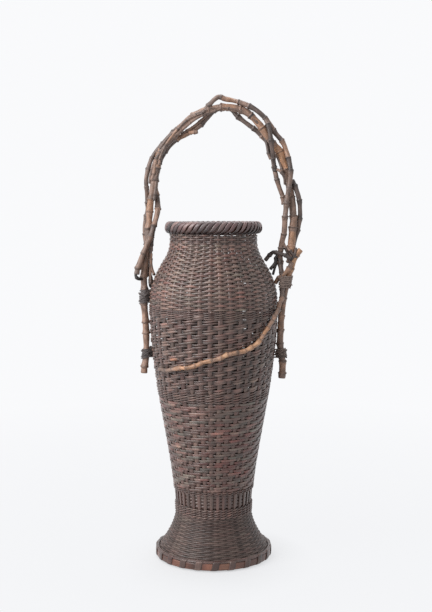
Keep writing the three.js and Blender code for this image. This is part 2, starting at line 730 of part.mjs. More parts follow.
const routeOf = (points) => points.map(onHandle);
stem('main_stem', routeOf(mainRoute), MAIN_STEM * THIN_END, MAIN_STEM, stemTan);
stem('outer_stem', routeOf(outerRoute), OUTER_STEM * THIN_END, OUTER_STEM, stemDark);
stem('inner_stem', routeOf(innerRoute), INNER_STEM, INNER_STEM * THIN_END, stemTan);
stem('left_stem', routeOf(leftRoute), LEFT_STEM * THIN_END, LEFT_STEM, stemDark);
stem('right_stem', routeOf(rightRoute), RIGHT_STEM, RIGHT_STEM * THIN_END, stemDark);
stem('right_branch', routeOf(branchRoute), BRANCH_STEM, BRANCH_STEM * THIN_END, stemDark);
stem('leg_stem', routeOf(legRoute), LEG_STEM * THIN_END, LEG_STEM, stemTan);
stem('left_root', leftRootRoute, THIN_ROOT, THIN_ROOT * THIN_END, stemTan);
stem('tie_root', tieRootRoute, TIE_ROOT, TIE_ROOT * THIN_END, stemDark);
stem('thin_root', thinRootRoute, THIN_ROOT, THIN_ROOT * THIN_END, stemDark);
stem('front_tendril', tendrilRoute, TENDRIL, TENDRIL * THIN_END, tendrilTan);

lashing('lashing_left_upper', LEFT_UPPER_LASHING, 'main_stem', wallBeside);
lashing('lashing_left_lower', LEFT_LOWER_LASHING, 'main_stem', wallBeside);
lashing('lashing_right_upper', RIGHT_UPPER_LASHING, 'leg_stem', tendrilBeside);
lashing('lashing_right_lower', RIGHT_LOWER_LASHING, 'leg_stem', wallBeside);

const ikebanaBasket = new THREE.Group();
ikebanaBasket.add(basket, handle);
const middle = new THREE.Box3().setFromObject(ikebanaBasket, true).getCenter(new THREE.Vector3());
ikebanaBasket.position.set(-middle.x, -middle.y, 0);

export default ikebanaBasket;
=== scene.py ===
"""Looks of a tall ikebana basket: woven wall, plaited rim, bound foot, rhizome handle and water tube.

Metres, +Z up, front at -Y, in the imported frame. Shapes are drawn about the basket's axis and moved onto it.
"""

import math

import bpy
import numpy as np
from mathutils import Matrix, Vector


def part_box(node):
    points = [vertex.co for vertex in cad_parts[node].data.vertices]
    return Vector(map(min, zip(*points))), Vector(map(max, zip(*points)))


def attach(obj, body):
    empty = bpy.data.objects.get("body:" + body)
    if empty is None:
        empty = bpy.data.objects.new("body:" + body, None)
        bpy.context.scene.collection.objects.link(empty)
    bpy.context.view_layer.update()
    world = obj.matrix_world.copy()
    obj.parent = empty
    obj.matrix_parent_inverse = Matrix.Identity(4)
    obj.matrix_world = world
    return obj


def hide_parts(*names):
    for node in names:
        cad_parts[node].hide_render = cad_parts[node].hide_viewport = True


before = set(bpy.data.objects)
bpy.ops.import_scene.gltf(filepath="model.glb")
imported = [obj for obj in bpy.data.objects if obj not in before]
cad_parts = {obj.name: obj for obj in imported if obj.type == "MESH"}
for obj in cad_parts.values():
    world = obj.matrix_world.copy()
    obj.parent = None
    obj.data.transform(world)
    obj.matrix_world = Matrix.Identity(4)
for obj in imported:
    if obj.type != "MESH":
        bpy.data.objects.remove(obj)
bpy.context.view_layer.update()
rng = np.random.default_rng(41)
MM = 0.001

# Wall profile, as in the solids
FOOT_RADIUS = 61 * MM
WAIST_RADIUS = 43 * MM
BELLY_RADIUS = 70.8 * MM
NECK_RADIUS = 48.3 * MM
WALL = 2.6 * MM
FLARE_POWER = 1.65
BODY_POWER = 0.9
SHOULDER_POWER = 1.45
SLOPE_STEP = 0.5 * MM

# Stakes and the first stake's place
STAKES = 39
STAKE_WIDTH = 3.2 * MM
STAKE_DEPTH = 0.8 * MM
FIRST_STAKE = math.radians(-93)

# Handle, as in the solids
MAIN_STEM = 3.9 * MM
LEG_STEM = 3.6 * MM
OUTER_STEM = 2.9 * MM
INNER_STEM = 2.9 * MM
LEFT_STEM = 2.5 * MM
RIGHT_STEM = 2.6 * MM
BRANCH_STEM = 1.6 * MM
TENDRIL = 2.3 * MM
TIE_ROOT = 1.9 * MM
THIN_ROOT = 1.6 * MM
RISING = (0.85, 1)
FALLING = (1, 0.85)
STEM_TIP = 0.85
NODE_SWELL = 1.2
FIRST_NODE = 7 * MM
INTERNODE = 17 * MM
INTERNODE_SPREAD = 0.22
INTERNODE_RHYTHM = 2.4
LAYER_DEPTH = 7.4 * MM
CLEARANCE = 0.3 * MM
BELT_PROUD = 0.6 * MM


def span(node):
    """Lowest and highest level of a solid."""
    low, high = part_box(node)
    return low.z, high.z


foot_top = span("foot_hoop_outer")[1]
skirt_top = span("foot_skirt")[1]
belly_z, shoulder_top = span("shoulder_weave")
axis_low, axis_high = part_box("foot_hoop_inner")
axis = np.array([(axis_low.x + axis_high.x) / 2, (axis_low.y + axis_high.y) / 2, 0])


# Shaders

class Shader:
    """A node tree, and short ways to add to it."""

    def __init__(self, tree):
        self.tree = tree

    def plug(self, socket, value):
        """Links an input to another node's output, or sets its own value."""
        if isinstance(value, bpy.types.NodeSocket):
            self.tree.links.new(value, socket)
        else:
            socket.default_value = value

    def add(self, kind, *first, **named):
        """The outputs of a new node; settings have small letters, inputs capitals or only a place."""
        node = self.tree.nodes.new("ShaderNode" + kind)
        for key, value in named.items():
            if key[0].islower():
                setattr(node, key, value)
            else:
                self.plug(node.inputs[key], value)
        for socket, value in zip(node.inputs, first):
            self.plug(socket, value)
        return node.outputs

    def mix(self, kind, factor, first, second):
        """One colour mixed with another."""
        node = self.tree.nodes.new("ShaderNodeMix")
        node.data_type = "RGBA"
        node.blend_type = kind
        for place, value in ((0, factor), (6, first), (7, second)):
            self.plug(node.inputs[place], value)
        return node.outputs[2]

    def times(self, base, *shades):
        """A colour multiplied by each of the shades."""
        for shade in shades:
            base = self.mix("MULTIPLY", 1.0, base, shade)
        return base

    def stretch(self, value, to_low, to_high, low=0.3, high=0.7):
        """A value carried from one range, by default the one that noise fills, to another."""
        return self.add("MapRange", value, low, high, to_low, to_high)["Result"]

    def ramp(self, value, stops):
        """Colours along a value, from (place, colour) stops."""
        node = self.tree.nodes.new("ShaderNodeValToRGB")
        self.plug(node.inputs["Fac"], value)
        elements = node.color_ramp.elements
        while len(elements) < len(stops):
            elements.new(0.5)
        for element, (place, colour) in zip(elements, stops):
            element.position = place
            element.color = (*colour, 1)
        return node.outputs["Color"]

    def read(self, name, output="Fac"):
        """A value that the meshes carry at their points."""
        return self.add("Attribute", attribute_name=name)[output]

    def scale(self, coordinates, factors):
        return self.add("VectorMath", coordinates, factors, operation="MULTIPLY")["Vector"]

    def streaks(self, coordinates, along, across, detail=3.0):
        """Noise drawn out along the fibres, in waves to the metre."""
        scaled = self.scale(coordinates, (along, across, 1.0))
        return self.add("TexNoise", Vector=scaled, Scale=1.0, Detail=detail)["Fac"]


class Skin(Shader):
    """A material of one Principled surface."""

    def __init__(self, name):
        self.material = bpy.data.materials.new(name)
        self.material.use_nodes = True
        super().__init__(self.material.node_tree)
        self.surface = self.tree.nodes["Principled BSDF"].inputs

    def finish(self, base, uneven, smoothest, roughest, relief, strength, depth):
        """Sets the colour, the roughness, which follows an uneven value, and the fine relief."""
        normal = self.add("Bump", Strength=strength, Distance=depth, Height=relief)["Normal"]
        roughness = self.stretch(uneven, smoothest, roughest)
        for key, value in (("Base Color", base), ("Roughness", roughness), ("Normal", normal)):
            self.plug(self.surface[key], value)
        return self.material


# Colours

def graded(places, *colours):
    """Places along a ramp, each with its colour."""
    return tuple(zip(places, colours))


SOFT = (0.3, 0.45, 0.6, 0.72)
SHARP = (0.36, 0.46, 0.54, 0.66)
TINTS = graded(SOFT, (1.0, 0.78, 0.77), (0.94, 0.88, 0.86), (0.88, 0.94, 0.9), (0.86, 0.96, 0.9))
WEAVE_TINTS = graded(SOFT, (1.04, 0.76, 0.74), (0.98, 0.86, 0.83), (0.92, 0.92, 0.87), (0.88, 0.95, 0.88))
SKIRT_TINTS = graded(SOFT, (0.95, 0.8, 0.79), (0.9, 0.9, 0.88), (0.85, 0.96, 0.92), (0.82, 0.99, 0.93))
TWILL_TINTS = graded(SHARP, (1.19, 0.65, 0.63), (1.02, 0.83, 0.8), (0.89, 0.94, 0.9), (0.76, 1.02, 0.96))
SHOULDER_TINTS = graded(SHARP, (1.03, 0.67, 0.62), (1.0, 0.84, 0.8), (0.93, 0.92, 0.86), (0.84, 0.98, 0.88))
NODE_BROWN = (0.035, 0.022, 0.018, 1)
WEAVE_STOPS = (
    (0.0, (0.040, 0.021, 0.017)),
    (0.35, (0.089, 0.053, 0.045)),
    (0.62, (0.158, 0.104, 0.088)),
    (0.85, (0.250, 0.166, 0.138)),
    (1.0, (0.400, 0.190, 0.105)),
)
RIM_STOPS = (
    (0.0, (0.022, 0.016, 0.018)),
    (0.35, (0.092, 0.059, 0.061)),
    (0.65, (0.185, 0.112, 0.109)),
    (1.0, (0.300, 0.165, 0.140)),
)
HOOP_STOPS = (
    (0.0, (0.05, 0.022, 0.016)),
    (0.35, (0.125, 0.049, 0.033)),
    (0.7, (0.26, 0.105, 0.062)),
    (1.0, (0.46, 0.20, 0.105)),
)
TUBE_STOPS = (
    (0.0, (0.045, 0.026, 0.017)),
    (0.5, (0.095, 0.055, 0.032)),
    (1.0, (0.17, 0.10, 0.055)),
)
STEM_STOPS = (
    (0.0, (0.020, 0.018, 0.019)),
    (0.12, (0.060, 0.045, 0.041)),
    (0.3, (0.139, 0.098, 0.083)),
    (0.6, (0.292, 0.180, 0.132)),
    (0.85, (0.438, 0.233, 0.132)),
    (1.0, (0.600, 0.370, 0.225)),
)


# Materials

def split_bamboo(name, stops=WEAVE_STOPS, roughness=0.37, tints=WEAVE_TINTS, hollow_shade=0.45, lacquer=0.35):
    """Smoked and lacquered split bamboo: fibres along the strip, crowns a little lighter for wear and as a
    painted highlight, and hollows darker as painted shade.
    """
    skin = Skin(name)
    fibre = skin.read("fibre", "Vector")
    fine = skin.streaks(fibre, 90.0, 5200.0)
    broad = skin.streaks(fibre, 28.0, 900.0)
    tint = skin.ramp(skin.streaks(fibre, 18.0, 1.0), tints)
    # Crowns lighter, partly wear and partly painted highlight; low crowns darker, painted shade in the
    # hollows.
    wear_highlight_and_shade = skin.stretch(skin.read("crown"), hollow_shade, 1.1, 0.1, 0.95)
    base = skin.ramp(skin.read("tone"), stops)
    base = skin.times(base, skin.stretch(fine, 0.7, 1.25), skin.stretch(broad, 0.72, 1.3), tint, wear_highlight_and_shade)
    for key, value in (("Specular IOR Level", 0.5), ("Coat Weight", lacquer), ("Coat Roughness", 0.3)):
        skin.surface[key].default_value = value
    return skin.finish(base, broad, roughness - 0.09, roughness + 0.11, fine, 0.25, 0.15 * MM)


def plain_bamboo(name, stops, roughness):
    """Bamboo of a solid that stays in view, with its fibres read from the place on the object."""
    skin = Skin(name)
    fine = skin.streaks(skin.add("TexCoord")["Object"], 900.0, 900.0)
    return skin.finish(skin.ramp(fine, stops), fine, roughness - 0.08, roughness + 0.1, fine, 0.2, 0.1 * MM)


def rhizome_skin(name, stops, roughness):
    """Bamboo rhizome: a tone for each internode, dark scarred nodes, streaks and stains."""
    skin = Skin(name)
    fibre = skin.read("fibre", "Vector")
    fine = skin.streaks(fibre, 70.0, 3200.0)
    stain = skin.streaks(fibre, 110.0, 260.0, 4.0)
    base = skin.ramp(skin.read("tone"), stops)
    base = skin.times(base, skin.stretch(fine, 0.66, 1.28), skin.stretch(stain, 0.5, 1.4))
    node = skin.stretch(skin.read("crown"), 0.0, 0.72, 0.12, 0.9)
    base = skin.mix("MIX", node, base, NODE_BROWN)
    return skin.finish(base, stain, roughness - 0.1, roughness + 0.12, fine, 0.5, 0.3 * MM)


def twisted_cord(name, dark, light):
    """Dark cord whose plies run aslant round it."""
    skin = Skin(name)
    fibre = skin.read("fibre", "Vector")
    flat = skin.scale(fibre, (1.0, 1.0, 0.0))
    plies = skin.add("TexWave", bands_direction="DIAGONAL", Vector=flat, Scale=420.0, Distortion=1.2)["Fac"]
    fuzz = skin.streaks(fibre, 900.0, 900.0)
    shade = skin.stretch(skin.read("tone"), 0.25, 1.75, 0.0, 1.0)
    base = skin.ramp(plies, ((0.15, dark), (0.85, light)))
    base = skin.times(base, skin.stretch(fuzz, 0.6, 1.3), shade)
    return skin.finish(base, fuzz, 0.45, 0.7, plies, 0.6, 0.2 * MM)


weave_bamboo = split_bamboo("weave_bamboo")
skirt_bamboo = split_bamboo("skirt_bamboo", roughness=0.5, tints=SKIRT_TINTS, hollow_shade=0.6, lacquer=0.1)
shoulder_bamboo = split_bamboo("shoulder_bamboo", tints=SHOULDER_TINTS, hollow_shade=0.52)
twill_bamboo = split_bamboo("twill_bamboo", tints=TWILL_TINTS)
open_bamboo = split_bamboo("open_bamboo", roughness=0.33, hollow_shade=0.28)
belt_bamboo = split_bamboo("belt_bamboo", roughness=0.4, hollow_shade=0.4)
rim_bamboo = split_bamboo("rim_bamboo", RIM_STOPS, 0.36, TINTS, hollow_shade=0.2)
hoop_bamboo = split_bamboo("hoop_bamboo", HOOP_STOPS, 0.36, TINTS, hollow_shade=0.7)
tube_bamboo = split_bamboo("tube_bamboo", TUBE_STOPS, 0.5, TINTS, hollow_shade=0.8, lacquer=0.0)
solid_hoop = plain_bamboo("solid_hoop", HOOP_STOPS, 0.45)
stem_skin = rhizome_skin("stem_skin", STEM_STOPS, 0.42)
lashing_cord = twisted_cord("lashing_cord", (0.042, 0.035, 0.036), (0.135, 0.112, 0.106))
worn_cord = twisted_cord("worn_cord", (0.075, 0.055, 0.047), (0.215, 0.160, 0.135))


# Meshes

STRAND_STEP = 0.731
ROW_EDGE = 0.03
ROW_SHARE = 0.94


def normalized(vectors):
    return vectors / np.linalg.norm(vectors, axis=-1, keepdims=True)


def rounded(wave, power):
    """A wave from -1 to 1 with flatter or sharper tops."""
    return np.sign(wave) * np.abs(wave) ** power


def evenly(n):
    """Angles of n places all the way round."""
    return 2 * np.pi * np.arange(n) / n


def around(radius, angle, z):
    """Points round the axis."""
    return np.stack(np.broadcast_arrays(radius * np.cos(angle), radius * np.sin(angle), z), -1)


def way_along(points):
    """How far each point lies along the line through them."""
    return np.concatenate([[0], np.cumsum(np.linalg.norm(np.diff(points, axis=0), axis=1))])


def each(value, n, sides):
    """A value for every point of n rings, from one for all of them, one by ring or one by point."""
    return np.broadcast_to(np.reshape(value, (n, -1)) if np.ndim(value) else value, (n, sides))


def placed(name, data):
    """A new object in the scene."""
    thing = bpy.data.objects.new(name, data)
    bpy.context.scene.collection.objects.link(thing)
    return thing


class Strands:
    """Strips, cords and stems swept along paths, in one mesh with the values that the materials read.

    fibre is the way along and across a strand, tone its colour, and crown how far it stands out, from which
    the bamboo materials paint shade in the hollows."""

    def __init__(self, sides=8, power=2.6):
        turn = 2 * np.pi * (np.arange(sides) + 0.5) / sides
        self.sides = sides
        self.across = rounded(np.cos(turn), 2 / power)
        self.outward = rounded(np.sin(turn), 2 / power)
        self.points, self.faces, self.corners = [], [], []
        self.fibre, self.tone, self.crown = [], [], []
        self.count = self.strands = self.rows = 0

    def strip(self, middle, out, across, width, depth, tone, crown=1.0, tilt=0.0, **layout):
        """A flat strip, which lies with its width across and its face outwards."""
        width, depth, tilt = (each(value, len(middle), 1) for value in (width, depth, tilt))
        aside = width / 2 * self.across
        raised = depth / 2 * self.outward + tilt * self.across
        rings = middle[:, None] + across[:, None] * aside[..., None] + out[:, None] * raised[..., None]
        self.rings(rings, aside, tone, crown, **layout)

    def round(self, middle, radius, tone, crown=1.0, **layout):
        """A round strand, whose radius may vary along it and round it."""
        along = normalized(np.gradient(middle, axis=0))
        side = np.empty_like(middle)
        last = np.array([0.0, 1.0, 0.0])
        for i, forward in enumerate(along):
            last = normalized(last - forward * last.dot(forward))
            side[i] = last
        other = np.cross(along, side)
        radius = each(radius, len(middle), self.sides)
        turn = evenly(self.sides)
        spokes = side[:, None] * np.cos(turn)[:, None] + other[:, None] * np.sin(turn)[:, None]
        self.rings(middle[:, None] + radius[..., None] * spokes, radius * turn, tone, crown, **layout)

    def rings(self, rings, aside, tone, crown, row_rings=None, closed=False):
        """Joins rings of points one after another, and closes the ends or the loop."""
        n, sides = rings.shape[:2]
        way = way_along(rings.mean(1))[:, None]
        fibre = np.stack(np.broadcast_arrays(way, aside, self.strands * STRAND_STEP), -1)
        self.fibre.append(fibre.reshape(-1, 3))
        self.tone.append(each(tone, n, sides).ravel())
        self.crown.append(each(crown, n, sides).ravel())
        self.points.append(rings.reshape(-1, 3))
        spans = n if closed else n - 1
        i, j = (index.ravel() for index in np.meshgrid(np.arange(spans), np.arange(sides), indexing="ij"))
        here, following, beside = i * sides, (i + 1) % n * sides, (j + 1) % sides
        quads = np.stack([here + j, here + beside, following + beside, following + j], 1)
        self.faces.append(quads + self.count)
        per_row = row_rings or spans
        row = self.rows + i // per_row
        left, right = (i % per_row) / per_row, (i % per_row) / per_row + 1 / per_row
        low, high = (row + ROW_EDGE + ROW_SHARE * (j + step) / sides for step in (0, 1))
        self.corners.append(np.stack([left, low, left, high, right, high, right, low], 1).reshape(-1, 4, 2))
        if not closed:
            self.caps(n, sides)
        self.rows += -(-spans // per_row)
        self.count += n * sides
        self.strands += 1

    def caps(self, n, sides):
        """Flat ends."""
        j = np.arange(sides // 2 - 1)
        start = np.stack([sides - 1 - j, sides - 2 - j, j + 1, j], 1) + self.count
        end = np.stack([j, j + 1, sides - 2 - j, sides - 1 - j], 1) + self.count + (n - 1) * sides
        for faces, u in ((start, 0.0), (end, 1.0)):
            self.faces.append(faces)
            self.corners.append(np.full((len(j), 4, 2), (u, self.rows + 0.5)))

    def piece(self, name, material, nodes=(), body="basket"):
        """The gathered strands as one object that rides on a body and stands for some solids."""
        mesh = bpy.data.meshes.new(name)
        mesh.from_pydata(np.concatenate(self.points) + axis, [], np.concatenate(self.faces))
        mesh.polygons.foreach_set("use_smooth", np.ones(len(mesh.polygons), bool))
        for key, values in (("tone", self.tone), ("crown", self.crown)):
            mesh.attributes.new(key, "FLOAT", "POINT").data.foreach_set("value", np.concatenate(values))
        fibre = mesh.attributes.new("fibre", "FLOAT_VECTOR", "POINT")
        fibre.data.foreach_set("vector", np.concatenate(self.fibre).ravel())
        corners = np.concatenate(self.corners) * (1, 1 / self.rows)
        mesh.uv_layers.new(name="OFBake").data.foreach_set("uv", corners.ravel())
        mesh.materials.append(material)
        mesh.update()
        thing = placed(name, mesh)
        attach(thing, body)
        if nodes:
            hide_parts(*nodes)


# Wall, and how values change along it

def smooth(t):
    return t * t * (3 - 2 * t)


def part_way(value, start, end):
    """How far a value has come from start to end, from 0 to 1."""
    return np.clip((value - start) / (end - start), 0, 1)


def between(value, low, high):
    return (value > low) & (value < high)


def hump(away, middle, width):
    """A smooth hump of height 1."""
    return np.exp(-(((away - middle) / width) ** 2))


def wall_radius(z):
    """Outer radius of the woven wall at a height."""
    flare = part_way(z, skirt_top, foot_top) ** FLARE_POWER
    body = smooth(part_way(z, skirt_top, belly_z) ** BODY_POWER)
    shoulder = smooth(part_way(z, belly_z, shoulder_top) ** SHOULDER_POWER)
    opened = (FOOT_RADIUS - WAIST_RADIUS) * flare + (BELLY_RADIUS - WAIST_RADIUS) * body
    return WAIST_RADIUS + opened - (BELLY_RADIUS - NECK_RADIUS) * shoulder


def on_wall(angle, z, off):
    """Points off the middle of the wall, the ways out of it and up along it."""
    slope = (wall_radius(z + SLOPE_STEP) - wall_radius(z - SLOPE_STEP)) / (2 * SLOPE_STEP)
    lean = 1 / np.sqrt(1 + slope ** 2)
    out = around(lean, angle, -slope * lean)
    up = around(slope * lean, angle, lean)
    return around(wall_radius(z) - WALL / 2, angle, z) + out * each(off, len(z), 1), out, up


def sway(angle):
    """How far a row wanders up and down on its way round, since it is laid by hand."""
    return 0.35 * MM * np.sin(2 * angle + 0.7) + 0.22 * MM * np.sin(5 * angle + 2.1)


def drift(n, step, spread):
    """A value that wanders smoothly along n points, with a new aim every step points."""
    aims = rng.normal(0, spread, n // step + 2)
    return np.interp(np.arange(n) / step, np.arange(len(aims)), aims)


def toned(mean, n, step, spread):
    """Tones that wander about a mean along n points."""
    return np.clip(mean + drift(n, step, spread), 0, 1)


COLUMN_TONES = rng.normal(0, 0.09, STAKES)
PLAIN_STEPS = 6
TWILL_STEPS = 8
TWINE_STEPS = 8
TWILL_WAVE = 2 * np.pi / 3
STRIP_FLOATS = 17
ROW_SWAY = 0.6
ROW_DRIFT = 0.16 * MM
OFF_DRIFT = 0.1 * MM
WIDTH_DRIFT = 0.08
STEEPEST = 0.5
PALEST = 0.85


def strip_tones(n, per_float, mean, spread):
    """Tones along a weft: a new strip is let in now and then, and each float is worn differently."""
    per_strip = per_float * STRIP_FLOATS
    strips = np.repeat(rng.normal(0, spread, n // per_strip + 1), per_strip)[:n]
    fine = drift(n, max(2, per_float // 4), spread * 0.5)
    return np.clip(mean + strips * 0.6 + drift(n, per_float, spread * 0.8) + fine, 0, PALEST)


def lay(strands, turn, z, swing, width, depth, tone, steps, closed,
        reach=1.0, arch=0.0, rough=1.0, dull=1.0, palest=1.0):
    """One stretch of weft, in front of some stakes and behind others."""
    n = len(turn)
    angle = FIRST_STAKE + 2 * np.pi * turn
    off = reach * swing * (STAKE_DEPTH + depth) / 2 + drift(n, steps, OFF_DRIFT * rough)
    wander = sway(angle) * ROW_SWAY + drift(n, steps * 2, ROW_DRIFT * rough)
    middle, out, up = on_wall(angle, z + arch * swing + wander, off)
    broad = width * (1 + drift(n, steps * 2, WIDTH_DRIFT * rough)) / np.maximum(up[:, 2], STEEPEST)
    tone = np.clip(tone + COLUMN_TONES[np.round(turn * STAKES).astype(int) % STAKES], 0, palest)
    # Crown falls to 0 where the weft passes behind a stake, and is painted as shade there.
    crown = ((swing + 1) / 2) ** dull
    strands.strip(middle, out, up, broad, depth, tone, crown, row_rings=STAKES * steps, closed=closed)


def plain_weft(strands, low, high, rows, width, depth, mean, spread, slant=0.0, sharp=1.0, **lie):
    """One strip wound up the wall row by row, over one stake and under the next, with its ends behind belts.

    Its floats rise to the right, and the sharper they are, the shorter."""
    per_turn = STAKES * PLAIN_STEPS
    turn = np.arange((rows + 1) * per_turn + 1) / per_turn
    wave = np.pi * turn * STAKES
    z = low + (high - low) / rows * (turn - 0.5) + slant * np.sin(wave)
    swing = np.clip(sharp * np.cos(wave) + 1 - sharp, -1, 1)
    tone = strip_tones(len(turn), PLAIN_STEPS * 2, mean, spread)
    lay(strands, turn, z, swing, width, depth, tone, PLAIN_STEPS, False, **lie)


def embers(angle, z, tone):
    """A few orange strips high on the left of the front."""
    turned_left = np.mod(angle + np.pi / 2 + np.pi, 2 * np.pi) - np.pi
    near = hump(turned_left, -0.35, 0.45) * hump(z, 168 * MM, 7 * MM)
    lit = np.sin(z / (3.1 * MM) * np.pi) > 0.2
    return np.clip(tone + 0.4 * near * lit, 0, 0.9)


def twill_weft(strands, low, high, rows, width, depth, mean, spread, slant, **lie):
    """Closed rows, each over two stakes and under one, that step to the right from row to row."""
    turn = np.arange(STAKES * TWILL_STEPS) / (STAKES * TWILL_STEPS)
    for row in range(rows):
        wave = TWILL_WAVE * (turn * STAKES - row - 0.5)
        level = low + (high - low) / rows * (row + 0.5)
        swing = np.clip(2.4 + 3.4 * np.cos(wave), -1, 1)
        tone = strip_tones(len(turn), TWILL_STEPS * 2, mean, spread)
        tone = embers(FIRST_STAKE + 2 * np.pi * turn, level, tone)
        z = level + slant * np.sin(wave)
        lay(strands, turn, z, swing, width, depth, tone, TWILL_STEPS, True, **lie)


# Stakes, from the foot up into the rim

STAKE_STEP = 3 * MM
TWILL_STAKE = 0.105
SINK_LENGTH = 4 * MM
SKIRT_SUNK = 0.6 * MM
SHOULDER_SUNK = 0.4 * MM
BY_STAKE_SUNK = 2.0 * MM


def build_stakes():
    """Stakes are broad in the twill, where they fill the gaps, and pale there as a painted sheen; they are
    dark under the closed rows, as painted shade.

    The twill has a second, darker set behind the gaps between them, which stands for the shade in those gaps."""
    strands = Strands(sides=6, power=3.2)
    low, high = span("foot_skirt")[0], span("neck_band")[1]
    z = np.linspace(low, high, int((high - low) / STAKE_STEP))
    bands = ("foot_skirt", "window_band", "lower_twill", "middle_weave", "shoulder_weave")
    skirt, window, twilled, opened, shoulder = (between(z, *span(node)) for node in bands)
    # By band: the twill's pale tone is a painted sheen, the skirt's dark tone and low crown are painted shade
    # under its rows, and the shoulder's lighter tone makes the shade in its slits less dark.
    base = np.select([twilled, shoulder, skirt], [0.50, 0.52, 0.28], 0.38)
    crown = np.select([shoulder, skirt], [0.7, 0.15], 0.8)
    broader = np.select([shoulder, opened, window], [1.6 * MM, 2.2 * MM, 1.0 * MM], 0.0)
    width = np.where(twilled, TWILL_STAKE * wall_radius(z), STAKE_WIDTH + broader)
    sunk = SKIRT_SUNK * smooth(part_way(z, skirt_top, skirt_top - SINK_LENGTH))
    sunk = sunk + SHOULDER_SUNK * smooth(part_way(z, belly_z, belly_z + SINK_LENGTH))
    for stake in evenly(STAKES):
        angle = FIRST_STAKE + stake + drift(len(z), 14, 0.004)
        middle, out, up = on_wall(angle, z, -sunk)
        tone = toned(base + rng.normal(0, 0.07), len(z), 9, 0.05)
        strands.strip(middle, out, np.cross(up, out), width, STAKE_DEPTH, tone, crown)
    low, high = span("lower_twill")
    z = np.linspace(low, high, int((high - low) / STAKE_STEP))
    for stake in evenly(STAKES):
        middle, out, up = on_wall(FIRST_STAKE + stake + np.pi / STAKES, z, -BY_STAKE_SUNK)
        across = np.cross(up, out)
        # Dark tone and low crown: these stakes stand for the shade in the twill's gaps.
        strands.strip(middle, out, across, width=5.6 * MM, depth=STAKE_DEPTH, tone=0.12, crown=0.15)
    strands.piece("stakes", weave_bamboo)


# Wefts, from the foot up

OPEN_PAIR = 1.3 * MM
NECK_BELOW = 1.0 * MM
NECK_ABOVE = 0.4 * MM


def build_wefts():
    skirt = Strands(power=2.0)
    plain_weft(skirt, *span("foot_skirt"), rows=27, width=2.2 * MM, depth=1.6 * MM, mean=0.25, spread=0.08,
               reach=0.36, dull=0.35, rough=0.3)
    skirt.piece("skirt_weft", skirt_bamboo, ["foot_skirt"])

    lower = Strands(power=2.0)
    twill_weft(lower, *span("lower_twill"), rows=32, width=2.95 * MM, depth=1.0 * MM, mean=0.40, spread=0.12,
               slant=0.4 * MM, rough=0.6)
    lower.piece("twill_weft", twill_bamboo, ["lower_twill"])

    middle = Strands(power=2.1)
    low, high = span("middle_weave")
    for shift in (-OPEN_PAIR, OPEN_PAIR):
        plain_weft(middle, low + shift, high + shift, rows=16, width=2.6 * MM, depth=1.2 * MM, mean=0.46,
                   spread=0.13, slant=0.65 * MM, rough=1.2)
    middle.piece("middle_weft", open_bamboo, ["middle_weave"])

    shoulder = Strands(power=2.0)
    plain_weft(shoulder, *span("shoulder_weave"), rows=31, width=2.4 * MM, depth=1.3 * MM, mean=0.62,
               spread=0.1, slant=0.06 * MM, sharp=1.15, reach=0.8, arch=0.3 * MM, dull=1.2,
               rough=0.85, palest=0.82)
    shoulder.piece("shoulder_weft", shoulder_bamboo, ["shoulder_weave"])

    neck = Strands(power=2.1)
    low, high = span("neck_band")[0] - NECK_BELOW, span("rim_braid")[0] - NECK_ABOVE
    plain_weft(neck, low, high, rows=4, width=2.2 * MM, depth=1.2 * MM, mean=0.42, spread=0.1,
               slant=0.1 * MM, reach=0.8, rough=0.6)
    neck.piece("neck_weft", weave_bamboo, ["neck_band"])


# Belts

BELT_DEPTH = 1.1 * MM
BELT_OFF = 0.2 * MM
BELT_RISE = 0.26


def build_belts():
    """Rows of two strands that twist between the stakes; the odd count of stakes joins them into one."""
    per_turn = STAKES * TWINE_STEPS
    turn = np.arange(2 * per_turn) / per_turn
    angle = FIRST_STAKE + 2 * np.pi * turn
    twist = np.pi * turn * STAKES
    off = np.cos(twist) * (STAKE_DEPTH + BELT_DEPTH) / 2 + BELT_OFF
    # The strand is darker where it twists behind a stake: painted shade.
    crown = (np.cos(twist) + 1) / 2
    for name, node, rows in (
        ("waist_twining", "waist_belt", 4),
        ("window_twining", "window_belt", 2),
        ("lower_twining", "lower_belt", 4),
        ("upper_twining", "upper_belt", 4),
    ):
        low, high = span(node)
        pitch = (high - low) / rows
        strands = Strands()
        for row in range(rows):
            z = low + pitch * (row + 0.5) + BELT_RISE * pitch * np.sin(twist) + sway(angle) * ROW_SWAY
            tone = strip_tones(len(turn), TWINE_STEPS * 2, 0.40, 0.10)
            strands.strip(*on_wall(angle, z, off), width=pitch * 0.62, depth=BELT_DEPTH, tone=tone,
                          crown=crown, row_rings=per_turn, closed=True)
        strands.piece(name, belt_bamboo, [node])


# Window lining behind the bare stakes

LINING_ROWS = 4
LINING_SUNK = 0.8 * MM


def build_lining():
    low, high = span("window_band")
    pitch = (high - low) / LINING_ROWS
    angle = FIRST_STAKE + evenly(STAKES * 4)
    strands = Strands(sides=6)
    for row in range(LINING_ROWS):
        z = low + pitch * (row + 0.5) + sway(angle) * 0.5
        # A crown of 0.6 paints the sunk rows a little darker, as shade behind the stakes.
        strands.strip(*on_wall(angle, z, -LINING_SUNK), width=pitch * 1.04, depth=0.7 * MM,
                      tone=toned(0.38, len(z), 12, 0.08), crown=0.6, closed=True)
    strands.piece("window_lining", weave_bamboo, ["window_band"])


# Rim: strips that climb aslant from each face and dive under each other along the top

RIM_STRIPS = 50
RIM_LEAN = 0.105
RIM_STRIP_WIDTH = 4.3 * MM
RIM_STRIP_DEPTH = 1.0 * MM
RIM_STRIP_TILT = 0.3 * MM
RIM_STRIP_STEPS = 34
RIM_START, RIM_END = np.radians((-98, 122))
RIM_DIVE, RIM_DIVE_LENGTH = np.radians((96, 26))
RIM_BROADENS = np.radians((-50, 10))
RIM_NARROWS = np.radians((50, 100))
RIM_OVER = 0.45 * MM
RIM_ROUND = 0.8
RIM_LIFT = 2.0 * MM
RIM_HOOP = 2.2 * MM


